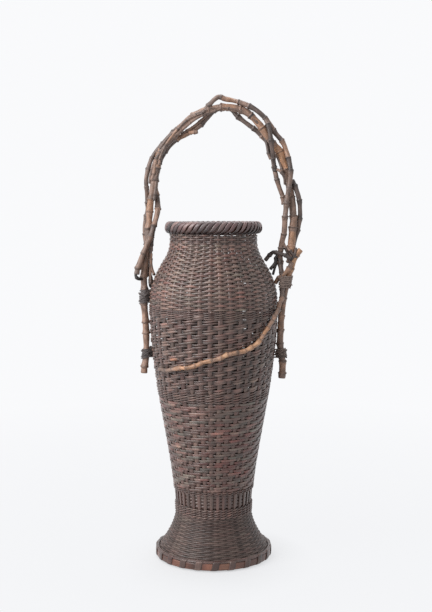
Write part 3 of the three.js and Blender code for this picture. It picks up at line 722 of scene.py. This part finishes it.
def build_rim():
    low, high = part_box("rim_braid")
    z_low, z_high = low.z + RIM_LIFT, high.z
    outer = high.x - axis[0]
    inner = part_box("rim_hoop_inner")[1].x - axis[0] - 2 * RIM_HOOP
    half_across = (outer - inner) / 2 - RIM_STRIP_DEPTH / 2
    half_up = (z_high - z_low) / 2 - RIM_STRIP_DEPTH / 2
    turn = np.linspace(RIM_START, RIM_END, RIM_STRIP_STEPS)
    over = np.clip((RIM_DIVE - turn) / RIM_DIVE_LENGTH, -1, 1)
    lift = RIM_OVER * over
    width = RIM_STRIP_WIDTH * (1 - 0.42 * smooth(part_way(turn, *RIM_NARROWS)))
    width = width * (0.72 + 0.28 * smooth(part_way(turn, *RIM_BROADENS)))
    strands = Strands(power=2.4)
    for section, first in ((turn, 0.25), (np.pi - turn, 0.75)):
        rise, reach = rounded(np.sin(section), RIM_ROUND), rounded(np.cos(section), RIM_ROUND)
        r = (outer + inner) / 2 + (half_across + lift) * reach
        z = (z_low + z_high) / 2 + (half_up + lift) * rise
        # Crown is low where a strip dives under the others and on the rim's underside: painted shade.
        crown = 0.2 + 0.8 * np.clip((over + 1) / 2, 0, 1) * np.clip(0.85 + rise, 0, 1)
        for number in range(RIM_STRIPS):
            start = 2 * np.pi * (number + first) / RIM_STRIPS
            angle = start + RIM_LEAN * (turn - turn[0]) + drift(len(turn), 11, 0.004)
            middle = around(r, angle, z)
            along = normalized(np.gradient(middle, axis=0))
            out = around(reach, angle, rise)
            out = normalized(out - along * (out * along).sum(1, keepdims=True))
            tone = toned(rng.normal(0.50, 0.14), len(turn), 12, 0.08)
            across = np.cross(out, along)
            strands.strip(middle, out, across, width, RIM_STRIP_DEPTH, tone, crown, RIM_STRIP_TILT)
    strands.piece("rim_plait", rim_bamboo, ["rim_braid"])


# Hoops

HOOP_STEPS = 200
HOOP_DEPTH = {
    "foot_hoop_outer": 1.6 * MM,
    "foot_hoop_inner": 2.4 * MM,
    "rim_hoop_outer": RIM_HOOP,
    "rim_hoop_inner": RIM_HOOP,
}


def out_and_up(n):
    """The ways out and up at n places round the axis."""
    return around(1, evenly(n), 0), np.tile([0.0, 0.0, 1.0], (n, 1))


def build_hoops(name, nodes, sides, power, tone, spread, low_cut=0.0, high_cut=0.0):
    """Hoops of flat bamboo in the places of solids."""
    strands = Strands(sides, power)
    out, up = out_and_up(HOOP_STEPS)
    for node in nodes:
        low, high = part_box(node)
        depth = HOOP_DEPTH[node]
        bottom, top = low.z + low_cut, high.z - high_cut
        middle = out * (high.x - axis[0] - depth / 2) + up * (bottom + top) / 2
        tones = toned(tone, HOOP_STEPS, 7, spread)
        strands.strip(middle, out, up, top - bottom, depth, tones, 0.9, closed=True)
    strands.piece(name, hoop_bamboo, nodes)


# Foot

BINDING_LOOPS = 22
BINDING_STEPS = 40
BINDING_WIDTH = 7.6 * MM
BINDING_DEPTH = 0.7 * MM
BINDING_SLANT = 0.24
BINDING_FLAT = 0.35
BINDING_ROUND = 0.55
FOOT_EDGE = 2.4 * MM
FOOT_EDGE_STEPS = 220


def build_edge_cane():
    """The two round canes that fill the gap between the skirt and the top of the outer hoop."""
    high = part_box("foot_hoop_outer")[1]
    out, up = out_and_up(FOOT_EDGE_STEPS)
    strands = Strands(power=2)
    for inward, below in ((0.9 * MM, 0.7 * MM), (2.4 * MM, 0.2 * MM)):
        middle = out * (high.x - axis[0] - inward) + up * (high.z - below)
        # A dark tone: the canes' own grey, darkened further as painted shade above the hoop.
        tone = toned(0.27, FOOT_EDGE_STEPS, 4, 0.12)
        strands.strip(middle, out, up, FOOT_EDGE, FOOT_EDGE, tone, 0.85, closed=True)
    strands.piece("foot_edge_cane", weave_bamboo)


def build_binding():
    """A strip wound round the outer hoop, aslant outside and on to the next turn inside."""
    low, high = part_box("foot_hoop_outer")
    half = HOOP_DEPTH["foot_hoop_outer"] / 2
    tall = (high.z - low.z) / 2 + BINDING_DEPTH / 2
    loop = np.arange(BINDING_LOOPS * BINDING_STEPS + 1) / BINDING_STEPS
    share = loop % 1
    turn = -np.pi / 2 + 2 * np.pi * share
    onward = BINDING_SLANT * part_way(share, 0, 0.5) + (1 - BINDING_SLANT) * smooth(part_way(share, 0.5, 1))
    angle = (np.floor(loop + 1e-9) + onward) * 2 * np.pi / BINDING_LOOPS - np.pi / 2
    r = high.x - axis[0] - half + (half + BINDING_DEPTH / 2) * rounded(np.cos(turn), BINDING_FLAT)
    z = (low.z + high.z) / 2 + tall * rounded(np.sin(turn), BINDING_ROUND)
    middle, out = around(r, angle, z), around(np.cos(turn), angle, np.sin(turn))
    across = around(1, angle + np.pi / 2, 0)
    tone = toned(0.21 + drift(len(loop), BINDING_STEPS, 0.10), len(loop), 3, 0.16)
    strands = Strands(power=3)
    strands.strip(middle, out, across, BINDING_WIDTH, BINDING_DEPTH, tone, 0.85, row_rings=BINDING_STEPS)
    strands.piece("foot_wrap", belt_bamboo, ["foot_binding"])


# Floor: strips that cross over and under each other inside the wall

FLOOR_STRIPS = 25
FLOOR_SWING = 0.55 * MM


def build_floor():
    low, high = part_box("floor_mat")
    radius = (high.x - low.x) / 2
    pitch = 2 * radius / FLOOR_STRIPS
    strands = Strands(sides=6)
    for way in (0, 1):
        for number in range(FLOOR_STRIPS):
            aside = -radius + pitch * (number + 0.5)
            half = math.sqrt(radius ** 2 - aside ** 2)
            along = np.linspace(-half, half, max(8, int(4 * half / pitch)))
            swing = np.cos(np.pi * ((along + radius) / pitch - 0.5 + number + way))
            middle = np.full((len(along), 3), aside)
            middle[:, way] = along
            middle[:, 2] = (low.z + high.z) / 2 + FLOOR_SWING * swing
            out = np.tile([0.0, 0.0, 1.0], (len(along), 1))
            across = np.tile([float(way), 1.0 - way, 0.0], (len(along), 1))
            tone = np.clip(rng.normal(0.45, 0.12), 0, 1)
            # A strip is darker where it passes under the other way: painted shade.
            strands.strip(middle, out, across, width=pitch * 0.94, depth=0.8 * MM, tone=tone,
                          crown=(swing + 1) / 2)
    strands.piece("floor_weave", weave_bamboo, ["floor_mat"])


# Water tube: a length of smoked bamboo, whose dark colour also stands for the shade inside the basket

TUBE_RADIUS = 28 * MM
TUBE_BORE = 24.4 * MM
TUBE_BOTTOM = 6 * MM
TUBE_FIRST_NODE = 11 * MM
TUBE_INTERNODE = 118 * MM
TUBE_NODES = 3
TUBE_EDGE = 0.8 * MM
TUBE_STEP = 0.9 * MM
TUBE_SIDES = 72
TUBE_MIDDLE = 0.2 * MM


def build_tube():
    low, high = span("water_tube")
    bottom = low + TUBE_BOTTOM
    z = np.arange(low, high, TUBE_STEP)
    radius = np.full(len(z), TUBE_RADIUS)
    crown = np.full(len(z), 0.8)
    for node in range(TUBE_NODES):
        away = (z - (low + TUBE_FIRST_NODE + TUBE_INTERNODE * node)) / MM
        radius += (0.9 * hump(away, 0, 1.7) - 0.35 * hump(away, -4, 1.4)) * MM
        # A darker band just under each node: painted shade under its ridge.
        crown -= 0.6 * hump(away, -2.6, 1.5)
    # Crowns are lower under the tube and inside the bore: painted shade.
    profile = np.array([
        (TUBE_MIDDLE, low, 0.3),
        (TUBE_RADIUS - TUBE_EDGE, low, 0.5),
        *zip(radius[1:], z[1:], crown[1:]),
        (TUBE_RADIUS, high - TUBE_EDGE, 0.8),
        (TUBE_RADIUS - TUBE_EDGE, high, 0.6),
        (TUBE_BORE + TUBE_EDGE, high, 0.5),
        (TUBE_BORE, high - TUBE_EDGE, 0.5),
        *((TUBE_BORE, inside, 0.4) for inside in np.arange(high - 3 * MM, bottom + 2 * MM, -6 * MM)),
        (TUBE_BORE - 2 * MM, bottom + 0.4 * MM, 0.3),
        (TUBE_BORE * 0.5, bottom, 0.3),
        (TUBE_MIDDLE, bottom, 0.3),
    ])
    turn = evenly(TUBE_SIDES)
    rings = around(profile[:, :1], turn, profile[:, 1:2])
    strands = Strands(TUBE_SIDES)
    strands.rings(rings, turn * TUBE_RADIUS, toned(0.5, len(profile), 40, 0.1), profile[:, 2])
    strands.piece("bamboo_tube", tube_bamboo, ["water_tube"], body="tube")


build_stakes()
build_wefts()
build_belts()
build_lining()
build_rim()
# The rim hoops are near black, as painted shade seen through the gaps of the plait.
build_hoops("rim_hoops", ["rim_hoop_outer", "rim_hoop_inner"], sides=8, power=4, tone=0.12, spread=0.05,
            low_cut=RIM_LIFT + 0.8 * MM)
build_hoops("foot_hoop", ["foot_hoop_outer"], sides=12, power=4.5, tone=0.34, spread=0.22,
            low_cut=-0.4 * MM, high_cut=1.9 * MM)
build_edge_cane()
build_hoops("standing_hoop", ["foot_hoop_inner"], sides=12, power=5, tone=0.5, spread=0.13)
build_binding()
build_floor()
build_tube()


# Handle

STEM_SIDES = 16
STEM_STEP = 0.7 * MM
CURVE_STEPS = 24
FULLNESS = 1.08
ZIGZAG = 0.55 * MM
TIP_LENGTH = 1.2 * MM
STEM_ROW = 60
paths = {}


def on_handle(*points):
    """Route points, from mm across, mm above the belly line and layers behind the middle, if any."""
    padded = [(*point, 0)[:3] for point in points]
    return [np.array([x * MM, layer * LAYER_DEPTH, belly_z + above * MM]) for x, above, layer in padded]


def wall_spot(degrees, above, clear):
    """A route point on the outside of the wall, some mm above the belly line."""
    z = belly_z + above * MM
    return around(wall_radius(z) + clear, math.radians(degrees), z)


def curve_through(points, step):
    """A smooth curve through the points, sampled evenly along its length."""
    points = np.array(points)
    padded = np.vstack([2 * points[0] - points[1], points, 2 * points[-1] - points[-2]])
    t = np.linspace(0, 1, CURVE_STEPS, endpoint=False)[:, None]
    dense = []
    for a, b, c, d in zip(padded, padded[1:], padded[2:], padded[3:]):
        before, here, after = (math.sqrt(np.linalg.norm(v - u)) for u, v in ((a, b), (b, c), (c, d)))
        leave = ((b - a) / before - (c - a) / (before + here) + (c - b) / here) * here
        arrive = ((c - b) / here - (d - b) / (here + after) + (d - c) / after) * here
        bend = (2 * b - 2 * c + leave + arrive) * t ** 3 + (3 * c - 3 * b - 2 * leave - arrive) * t ** 2
        dense.append(bend + leave * t + b)
    dense = np.vstack([*dense, points[-1:]])
    way = way_along(dense)
    even = np.linspace(0, way[-1], max(8, int(way[-1] / step)))
    return interpolated(even, way, dense), even


def interpolated(at, places, points):
    """Points at some places, between the points that are given at others."""
    return np.stack([np.interp(at, places, points[:, k]) for k in range(3)], 1)


def node_places(length, internode):
    """Where the nodes of a stem sit, as in the solids."""
    places = []
    node = FIRST_NODE
    while node < length:
        places.append(node)
        node += internode * (1 + INTERNODE_SPREAD * math.sin((len(places) - 1) * INTERNODE_RHYTHM))
    return np.array(places)


def knotty(strands, route, radius, taper, mean, spread, glow=None, internode=INTERNODE, marks=1.0):
    """One knotty stem, which bends a little at each node and widens towards its ringed nodes."""
    middle, way = curve_through(route, STEM_STEP)
    length = way[-1]
    radius = FULLNESS * radius * (taper[0] + (taper[1] - taper[0]) * way / length)
    nodes = node_places(length, internode)
    edges = np.concatenate([[0], nodes, [length]])
    part = np.clip(np.searchsorted(edges, way, "right") - 1, 0, len(edges) - 2)
    share = (way - edges[part]) / (edges[part + 1] - edges[part])
    kinks = rng.normal(0, ZIGZAG, (len(edges), 3)) * np.array([1, 0.5, 1])
    kinks[[0, -1]] = 0
    middle = middle + interpolated(way, edges, kinks)
    turn = evenly(STEM_SIDES)
    swell = np.zeros((len(way), STEM_SIDES))
    ring = np.zeros(len(way))
    for number, node in enumerate(nodes):
        away = (way - node) / MM
        flange = rng.uniform(0.8, 1.25) * (0.24 * hump(away, 0, 0.9) + 0.12 * hump(away, 2.2, 1.7))
        groove = -0.07 * hump(away, -1.8, 0.8)
        scars = 0.11 * hump(away, 0.8, 0.9)[:, None] * np.cos(4 * turn + number * 2.2)
        swell += (flange + groove)[:, None] + scars
        ring = np.maximum(ring, hump(away, 0.3, rng.uniform(0.6, 1.3)) * rng.uniform(0.25, 1.0) * marks)
    waist = 0.06 * (share - 0.5) - 0.06 * np.sin(np.pi * share)
    furrow = 0.05 * np.cos(turn + 2.1 * part[:, None]) + 0.03 * np.cos(3 * turn + 90 * way[:, None])
    lumpy = drift(len(way), 9, 0.05)[:, None]
    tip = STEM_TIP + (1 - STEM_TIP) * np.sqrt(part_way(np.minimum(way, length - way), 0, TIP_LENGTH))
    full = radius[:, None] * (1 + swell + waist[:, None] + furrow + lumpy) * tip[:, None]
    tones = rng.normal(mean, spread, len(edges))[part] + 0.08 * np.sin(np.pi * share) - 0.04
    tones = tones + drift(len(way), 6, 0.03)
    if glow:
        tones = glow(middle[:, 0] / MM, (middle[:, 2] - belly_z) / MM, tones)
    strands.round(middle, full, np.clip(tones, 0, 1), ring, row_rings=STEM_ROW)
    return middle, radius


def rhizome(name, route, radius, taper, slot, mean, spread, glow=None, shoots=(), **growth):
    """A stem of the handle, with the thinner shoots along it: each a route, a radius in mm and a tone."""
    strands = Strands(STEM_SIDES)
    paths[name] = knotty(strands, route, radius, taper, mean, spread, glow, **growth)
    for shoot, thick, tone in shoots:
        knotty(strands, shoot, thick * MM, FALLING, tone, spread)
    strands.piece(name + "_rhizome", stem_skin, [name])


def beside_main(first, last, aside, ahead):
    """The way of a thin shoot that hugs the main stem between two of its points, some mm aside and ahead."""
    along = np.array(main_route[first:last])
    step = normalized(np.gradient(along, axis=0))
    side = np.stack([-step[:, 2], np.zeros(len(step)), step[:, 0]], 1)
    weave = np.cos(np.linspace(0, 1.4 * np.pi, len(step)))[:, None]
    return list(along + side * aside * MM * weave - np.array([0.0, ahead * MM, 0.0]))


def main_light(x, z, tones):
    """The main stem has bright orange internodes right of the crown, and pale ones low on the left."""
    near = between(x, 42, 60) & between(z, 175, 206) | between(x, 64, 79) & between(z, 148, 174)
    near = near | (x > 80) & between(z, 60, 82)
    pale = (x < -70) & (between(z, -48, -8) | between(z, 12, 34))
    tones = np.where(pale, np.clip(tones + 0.1, 0.45, 0.60), tones)
    return np.where(near, np.clip(tones + 0.26, 0.7, 0.86), tones)


def inner_light(x, z, tones):
    """The inner stem is dark where it leaves the bundle, right of the crown."""
    return tones - 0.2 * (between(x, 20, 52) & (z > 170))


def leg_light(x, z, tones):
    """The right leg has a pale head and a dark stretch under it."""
    return tones + 0.16 * (z > 38) - 0.2 * between(z, 2, 32)


def tendril_light(x, z, tones):
    """The tendril is dark where it comes off the bundle and where it ends, and pale over the front."""
    ending = np.interp(x, [-48, -37], [-0.4, 0])
    return tones + ending + np.interp(z, [-34, -8, 20, 26], [0.03, -0.13, -0.2, -0.45])


main_route = on_handle(
    (-77.2, -75), (-75.5, -60), (-74.4, -38), (-74.6, -16), (-76.3, 6), (-76.6, 25), (-76, 44), (-74, 59),
    (-72, 78), (-71, 92), (-70.3, 104), (-68.4, 116), (-64.3, 137), (-61, 154), (-57, 167), (-48, 180),
    (-36, 193), (-24, 204), (-9, 212), (9, 216), (27, 214.5), (39, 209), (48.5, 199.2), (56.5, 188),
    (65.5, 177.5, 0.1), (72, 168, 0.2), (77.5, 155, 0.4), (82, 141, 0.55), (84, 127, 0.55),
    (86, 113, 0.5), (87, 97, 0.4), (86, 81, 0.2), (85, 64), (84.5, 55), (85, 47, 0.25),
)
main_shoots = [
    (beside_main(12, 20, 3.2, 2.6), 1.9, 0.46),
    (beside_main(13, 19, -1.6, 3.4), 1.5, 0.5),
    (beside_main(11, 17, -3.4, 2.4), 1.7, 0.36),
    (beside_main(17, 23, 2.2, 3.0), 1.5, 0.4),
    (on_handle((56.5, 203, -0.5), (60, 193, -0.9), (61.8, 184, -0.95), (63, 175, -0.8), (64.5, 165, -0.5),
               (66, 157), (68, 147, 0.55)),
     2.4, 0.36),
    (on_handle((52, 189, 0.75), (56, 183, 0.75), (60, 172, 0.5), (62.5, 160.5, 0.35)), 1.9, 0.38),
    (on_handle((66, 172, 0.5), (71, 163, 0.35), (73.5, 154, 0.1), (75.5, 145, -0.1)), 1.8, 0.34),
    (on_handle((-56, 171, 0.2), (-63.5, 160, 0.1), (-67, 149, 0.05), (-69, 140, 0.1), (-69.6, 134, 0.2)),
     2.0, 0.42),
]
outer_route = on_handle(
    (-10, 212.8, -0.1), (-4, 218.7, -0.25), (1, 224, -0.3), (6, 227, -0.2), (12, 225, -0.1),
    (20, 223.8, -0.1), (32, 220.5, -0.4), (44, 214.8, -0.6), (53, 207, -0.5), (60, 198, -0.3),
    (67, 188.5, -0.1), (75, 179), (80, 168, -0.15), (83, 156, -0.4), (84, 144, -0.55), (83, 130, -0.55),
    (81, 116, -0.55), (79, 100, -0.5), (77, 82, -0.35), (74, 67, -0.1), (73, 55, -0.1), (74, 44, 0.25),
    (76, 32, 0.3), (77, 20, 0.3),
)
inner_route = on_handle(
    (-84, 35, -1), (-82, 42, -1), (-78, 54, -1), (-73.5, 65, -1.02), (-68.8, 75, -1.02),
    (-65.3, 85, -0.85), (-62.5, 95, -0.5), (-60.8, 103, -0.1), (-60.6, 110, 0.4), (-61.5, 118, 0.85),
    (-63.3, 127, 1.05), (-63.6, 137.5, 1.1), (-61, 148.4, 1.05), (-58, 159, 1), (-52.5, 170, 1),
    (-42, 181, 0.95), (-31, 187, 0.75), (-22, 191.5, 0.65), (-14, 197.5, 0.75), (-7, 205, 0.95),
    (2, 213.5, 1.05), (11, 216.5, 1.05), (19, 215, 1.05), (26, 208, 0.9), (39, 197.5, 0.75),
    (50, 189.5, 0.9), (59, 179, 1), (64, 166, 0.9), (67, 150, 0.65), (71, 132, 0.6), (76, 117, 0.6),
    (77, 111, 0.6),
)
inner_shoots = [
    (on_handle((-27, 189, 0.5), (-22, 189.5, 0.2), (-17, 190, 0.1)), 2.0, 0.6),
    (on_handle((-35, 187.5, 0.55), (-26, 192.5, 0.35), (-18, 198.5, 0.4), (-10, 205.5, 0.6),
               (-4, 211, 0.7)),
     1.7, 0.44),
    (on_handle((-83.6, 38, -1), (-84.8, 34, -1), (-82.8, 30.6, -0.9), (-79, 29.6, -0.55)), 1.8, 0.1),
]
left_route = on_handle(
    (-39, 195, 0.6), (-52.5, 182.5, 0.7), (-62.3, 170.5, 0.6), (-68.3, 159, 0.45), (-71.5, 148, 0.4),
    (-73.8, 137, 0.4), (-73.5, 127, 0.6), (-72.7, 116, 0.85), (-72, 105, 1), (-74, 94, 1), (-75.2, 87, 1),
    (-75.5, 74, 1), (-74, 58, 1), (-72, 44, 1), (-71.5, 32, 1),
)
right_route = on_handle(
    (86, 138, 0.3), (89, 131, 0.2), (92.5, 120, 0.1), (94.5, 107, 0.3), (95, 97, 0.5), (93, 84, 0.8),
    (90, 73, 1), (88, 64, 1),
)
branch_route = on_handle((69.4, 149.5, 0.22), (74, 146, -0.4), (77, 140, -0.4), (78, 133, -0.2))
leg_route = on_handle(
    (96, 62), (90, 54), (85.5, 46), (82, 36), (80.2, 24), (79, 11), (77, -4), (75, -18), (74.6, -36),
    (75.2, -56), (75.8, -81),
)
leg_shoots = [
    (on_handle((86, 48, -0.3), (81.5, 39.5, -0.7), (76, 33.5, -0.75), (71.5, 30, -0.6), (67.6, 25, -0.4)),
     2.5, 0.66),
    (on_handle((80, 66, -0.3), (84, 60, -0.55), (88.5, 55, -0.5), (92, 53.5, -0.3)), 1.5, 0.3),
    (on_handle((90.5, 64, -0.2), (88.5, 57, -0.45), (85, 50, -0.4)), 1.5, 0.3),
    (on_handle((76.5, 70, -0.2), (80, 62, -0.35), (82.5, 53, -0.3), (84, 44, -0.2)), 1.5, 0.3),
]
thin_seat = THIN_ROOT * STEM_TIP
tie_seat = TIE_ROOT * STEM_TIP
tendril_seat = TENDRIL * NODE_SWELL + CLEARANCE
left_root_route = [
    *on_handle((-67.9, 69, -0.25), (-68.3, 56, -0.3), (-69.5, 40, -0.3)), wall_spot(-177, 24, thin_seat),
]
left_root_shoots = [
    ([*on_handle((-68.2, 58, -0.35), (-68.2, 46, -0.4), (-67.4, 40, -0.4)),
      wall_spot(-177, 34, thin_seat)],
     1.7, 0.6),
    (on_handle((-68.2, 60, -0.3), (-67.2, 72, -0.3), (-65.8, 84, -0.35), (-63.8, 95, -0.3)), 1.9, 0.42),
]
tie_route = [
    wall_spot(0, 50, tie_seat),
    *on_handle((61.5, 56, -0.2), (66, 60, -0.6), (70, 59, -0.9), (77, 56, -1), (85, 52, -1)),
]
thin_route = [*on_handle((73, 58), (69.5, 54, 0.1), (68.5, 48, 0.1)), wall_spot(1, 40, thin_seat)]
thin_shoots = [([*on_handle((70, 54, 0.1), (68.4, 46, 0.1)), wall_spot(1, 34, thin_seat)], 1.6, 0.03)]
over_belt = [(-18, 0), (-27, -8)]
over_weave = [
    (-35, -16), (-41, -23), (-47, -31), (-53, -37), (-61, -41), (-70, -44), (-79, -46), (-88, -49),
    (-96, -52), (-104, -56), (-113, -59), (-123, -62), (-134, -64), (-147, -65),
]
tendril_route = [
    *on_handle((72.7, 53, -0.1), (74.5, 39, -0.55), (75, 24, -1)),
    wall_spot(-9, 10, tendril_seat + 1.4 * MM),
    *[wall_spot(turn, above, tendril_seat + BELT_PROUD) for turn, above in over_belt],
    *[wall_spot(turn, above, tendril_seat) for turn, above in over_weave],
]

rhizome("main_stem", main_route, MAIN_STEM, RISING, "rhizome", 0.51, 0.12, main_light, main_shoots)
rhizome("outer_stem", outer_route, OUTER_STEM, RISING, "rhizome_dark", 0.4, 0.12)
rhizome("inner_stem", inner_route, INNER_STEM, FALLING, "rhizome", 0.42, 0.13, inner_light, inner_shoots)
rhizome("left_stem", left_route, LEFT_STEM, RISING, "rhizome_dark", 0.39, 0.08)
rhizome("right_stem", right_route, RIGHT_STEM, FALLING, "rhizome_dark", 0.28, 0.08)
rhizome("right_branch", branch_route, BRANCH_STEM, FALLING, "rhizome_dark", 0.36, 0.08)
rhizome("leg_stem", leg_route, LEG_STEM, RISING, "rhizome", 0.53, 0.11, leg_light, leg_shoots)
rhizome("left_root", left_root_route, THIN_ROOT, FALLING, "rhizome", 0.34, 0.08, shoots=left_root_shoots)
rhizome("tie_root", tie_route, TIE_ROOT, (1.1, 1), "rhizome_dark", 0.13, 0.06, internode=10 * MM)
rhizome("thin_root", thin_route, THIN_ROOT, (1.2, 1.1), "rhizome_dark", 0.03, 0.03, shoots=thin_shoots)
rhizome("front_tendril", tendril_route, TENDRIL, FALLING, "tendril", 0.74, 0.09, tendril_light,
        internode=9.5 * MM, marks=0.95)


# Lashings

CORD_RADIUS = 0.8 * MM
CORD_PITCH = 1.55 * MM
CORD_STEPS = 24
CORD_STEP = 0.7 * MM
CORD_ROW = 80
STEM_CLEAR = 1.02
STAKE_BEHIND = 0.5 * MM
CROSSING_RADIUS = 0.95 * CORD_RADIUS
CROSSING_SLOPES = (0.32, -0.24)
KNOT_STEPS = 220


def stem_at(name, z):
    """Where a stem passes a height, and how thick it is there."""
    middle, radius = paths[name]
    nearest = np.argmin(np.abs(middle[:, 2] - z))
    return middle[nearest, :2], radius[nearest]


def wall_beside(z, spot):
    """The stake in the wall that a leg is tied to."""
    return normalized(spot) * (wall_radius(z) - STAKE_BEHIND), CORD_RADIUS


def tendril_beside(z, spot):
    return stem_at("front_tendril", z)


def lashing(name, stem, beside, mean, cord, knot=None, both=2):
    """A cord wound loosely round a stem; some turns take in what it is tied to, and two cross over."""
    low, high = span(name)
    loops = int((high - low) / CORD_PITCH)
    lean = rng.normal(0.5 * MM, 0.4 * MM, loops + 1)
    loose = rng.uniform(0.0, 0.35 * MM, loops + 1)
    points = []
    for i in range(loops * CORD_STEPS + 1):
        turn = 2 * math.pi * i / CORD_STEPS
        loop = i // CORD_STEPS
        z = low + CORD_RADIUS + (high - low - 2 * CORD_RADIUS) * i / (loops * CORD_STEPS)
        way = np.array([math.cos(turn), math.sin(turn)])
        spot, radius = stem_at(stem, z)
        held = spot, radius * STEM_CLEAR + loose[loop]
        other = beside(z, spot)
        if loop % both == 0 and other[0].dot(way) + other[1] > held[0].dot(way) + held[1]:
            held = other
        flat = held[0] + way * (held[1] + CORD_RADIUS)
        points.append((*flat, z + lean[loop] * math.cos(turn)))
    middle, way = curve_through(points, CORD_STEP)
    strands = Strands(sides=10)
    tone = toned(mean, len(way), 40, 0.16)
    strands.round(middle, CORD_RADIUS * (1 + drift(len(way), 6, 0.06)), tone, row_rings=CORD_ROW)
    for slope in CROSSING_SLOPES:
        cross_over(strands, stem, (low + high) / 2, (high - low) * slope, mean)
    if knot:
        tie(strands, *knot)
    strands.piece(name + "_cord", cord, [name])


def cross_over(strands, stem, height, climb, tone):
    """One turn of cord aslant over the others."""
    turn = evenly(2 * CORD_STEPS)
    spot, radius = stem_at(stem, height)
    ring = around(radius * STEM_CLEAR + 2.3 * CORD_RADIUS, turn, height + climb * np.cos(turn))
    strands.round(ring + (*spot, 0), CROSSING_RADIUS, toned(tone, len(turn), 12, 0.12), closed=True)


def tie(strands, place, half, tone):
    """A knot of the same cord, wound to and fro between the stem and the wall; half its size is in mm."""
    turn = np.linspace(0, 2 * np.pi, KNOT_STEPS)
    ball = around(np.sin(3 * turn), 7 * turn, np.cos(3 * turn))
    middle = on_handle(place)[0] + ball * (np.array(half) * MM - CORD_RADIUS)
    strands.round(middle, CORD_RADIUS, toned(tone, len(turn), 20, 0.1), row_rings=CORD_ROW)


# The knots are dark cord, darker still as painted shade between the legs and the wall.
left_knot = (-69.3, 27, 0.15), (2.7, 3.2, 7.5), 0.02
left_low_knot = (-69.4, -50), (2.8, 3.0, 5.5), 0.05
right_low_knot = (70.6, -53), (2.6, 2.8, 3.8), 0.1
lashing("lashing_left_upper", "main_stem", wall_beside, 0.68, lashing_cord, left_knot)
lashing("lashing_left_lower", "main_stem", wall_beside, 0.5, lashing_cord, left_low_knot)
lashing("lashing_right_upper", "leg_stem", tendril_beside, 0.95, worn_cord, both=1)
lashing("lashing_right_lower", "leg_stem", wall_beside, 0.55, worn_cord, right_low_knot)

for node in ("floor_splint_upper", "floor_splint_lower"):
    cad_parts[node].material_slots[0].material = solid_hoop


# Stage

FLOOR_REACH = 1.6
FLOOR_SIDES = 96
FLOOR_WHITE = (0.72, 0.72 * 1.008, 0.72 * 1.025, 1)
FLOOR_SEEN = (0.905, 0.912, 0.93, 1)
FADE_REACH = (0.16, 0.95)
SHADE_MIDDLE = (-0.022, -0.02, 0)
SHADE_REACH = (0.045, 0.13)
SHADE_SEEN = (0.60, 0.97)
BACKDROP = (0.95, 0.955, 0.97, 1)
WORLD_COLOUR = (0.98, 0.99, 1, 1)
WORLD_LIGHT = 0.47


def emptied(owner):
    """The node tree of a material or world, with nothing in it."""
    owner.use_nodes = True
    owner.node_tree.nodes.clear()
    return Shader(owner.node_tree)


def looked_at(shader):
    """1 where the camera sees a surface, straight, in a reflection or through glass."""
    path = shader.add("LightPath")
    either = path["Is Camera Ray"]
    for ray in ("Is Glossy Ray", "Is Transmission Ray"):
        either = shader.add("Math", either, path[ray], operation="MAXIMUM")[0]
    return either


def build_floor_stage():
    mesh = bpy.data.meshes.new("floor")
    mesh.from_pydata(around(FLOOR_REACH, evenly(FLOOR_SIDES), 0), [], [list(range(FLOOR_SIDES))])
    floor = placed("floor", mesh)
    material = bpy.data.materials.new("pale_floor")
    shader = emptied(material)
    lit = shader.add("BsdfDiffuse", Color=FLOOR_WHITE)[0]
    plain_white = shader.add("Emission", Color=FLOOR_SEEN, Strength=1.0)[0]
    clear = shader.add("BsdfTransparent")[0]
    place = shader.add("TexCoord")["Object"]
    distance = shader.add("VectorMath", place, operation="LENGTH")["Value"]
    from_shade = shader.add("VectorMath", place, SHADE_MIDDLE, operation="DISTANCE")["Value"]
    unshaded = shader.stretch(from_shade, *SHADE_SEEN, *SHADE_REACH)
    half_seen = shader.add("Math", looked_at(shader), unshaded, operation="MULTIPLY")[0]
    seen = shader.add("MixShader", half_seen, lit, plain_white)[0]
    fade = shader.stretch(distance, 0.0, 1.0, *FADE_REACH)
    shader.add("OutputMaterial", shader.add("MixShader", fade, seen, clear)[0])
    mesh.materials.append(material)


def build_world():
    world = bpy.data.worlds.new("studio")
    bpy.context.scene.world = world
    shader = emptied(world)
    soft = shader.add("Background", Color=WORLD_COLOUR, Strength=WORLD_LIGHT)[0]
    backdrop = shader.add("Background", Color=BACKDROP, Strength=1.0)[0]
    shader.add("OutputWorld", shader.add("MixShader", looked_at(shader), soft, backdrop)[0])


def softbox(name, place, aim, size, power):
    lamp = bpy.data.lights.new(name, "AREA")
    lamp.shape = "RECTANGLE"
    lamp.size, lamp.size_y = size
    lamp.energy = power
    thing = placed(name, lamp)
    thing.location = place
    thing.rotation_euler = (Vector(aim) - Vector(place)).to_track_quat("-Z", "Y").to_euler()


build_floor_stage()
build_world()
softbox("key", (-1.2, -0.9, 1.1), (0, 0, 0.25), (1.4, 1.6), 36)
softbox("fill", (1.3, -0.9, 0.8), (0, 0, 0.25), (0.9, 1.3), 0.4)
softbox("top", (-0.1, 0.35, 1.6), (0, 0, 0.2), (1.0, 1.0), 10)

CAMERA_DISTANCE = 1.134
CAMERA_HEIGHT = 0.382
CAMERA_ASIDE = 0.00275
CAMERA_PITCH = math.radians(5.15)
LONG_SIDE = 612
FOCAL_PIXELS = 1031
SENSOR = 36

lens = bpy.data.cameras.new("camera")
lens.sensor_width = SENSOR
lens.lens = FOCAL_PIXELS / LONG_SIDE * SENSOR
camera = placed("camera", lens)
camera.location = (axis[0] + CAMERA_ASIDE, axis[1] - CAMERA_DISTANCE, CAMERA_HEIGHT)
camera.rotation_euler = (math.pi / 2 - CAMERA_PITCH, 0, 0)
bpy.context.scene.camera = camera
bpy.context.scene.view_settings.view_transform = "Standard"
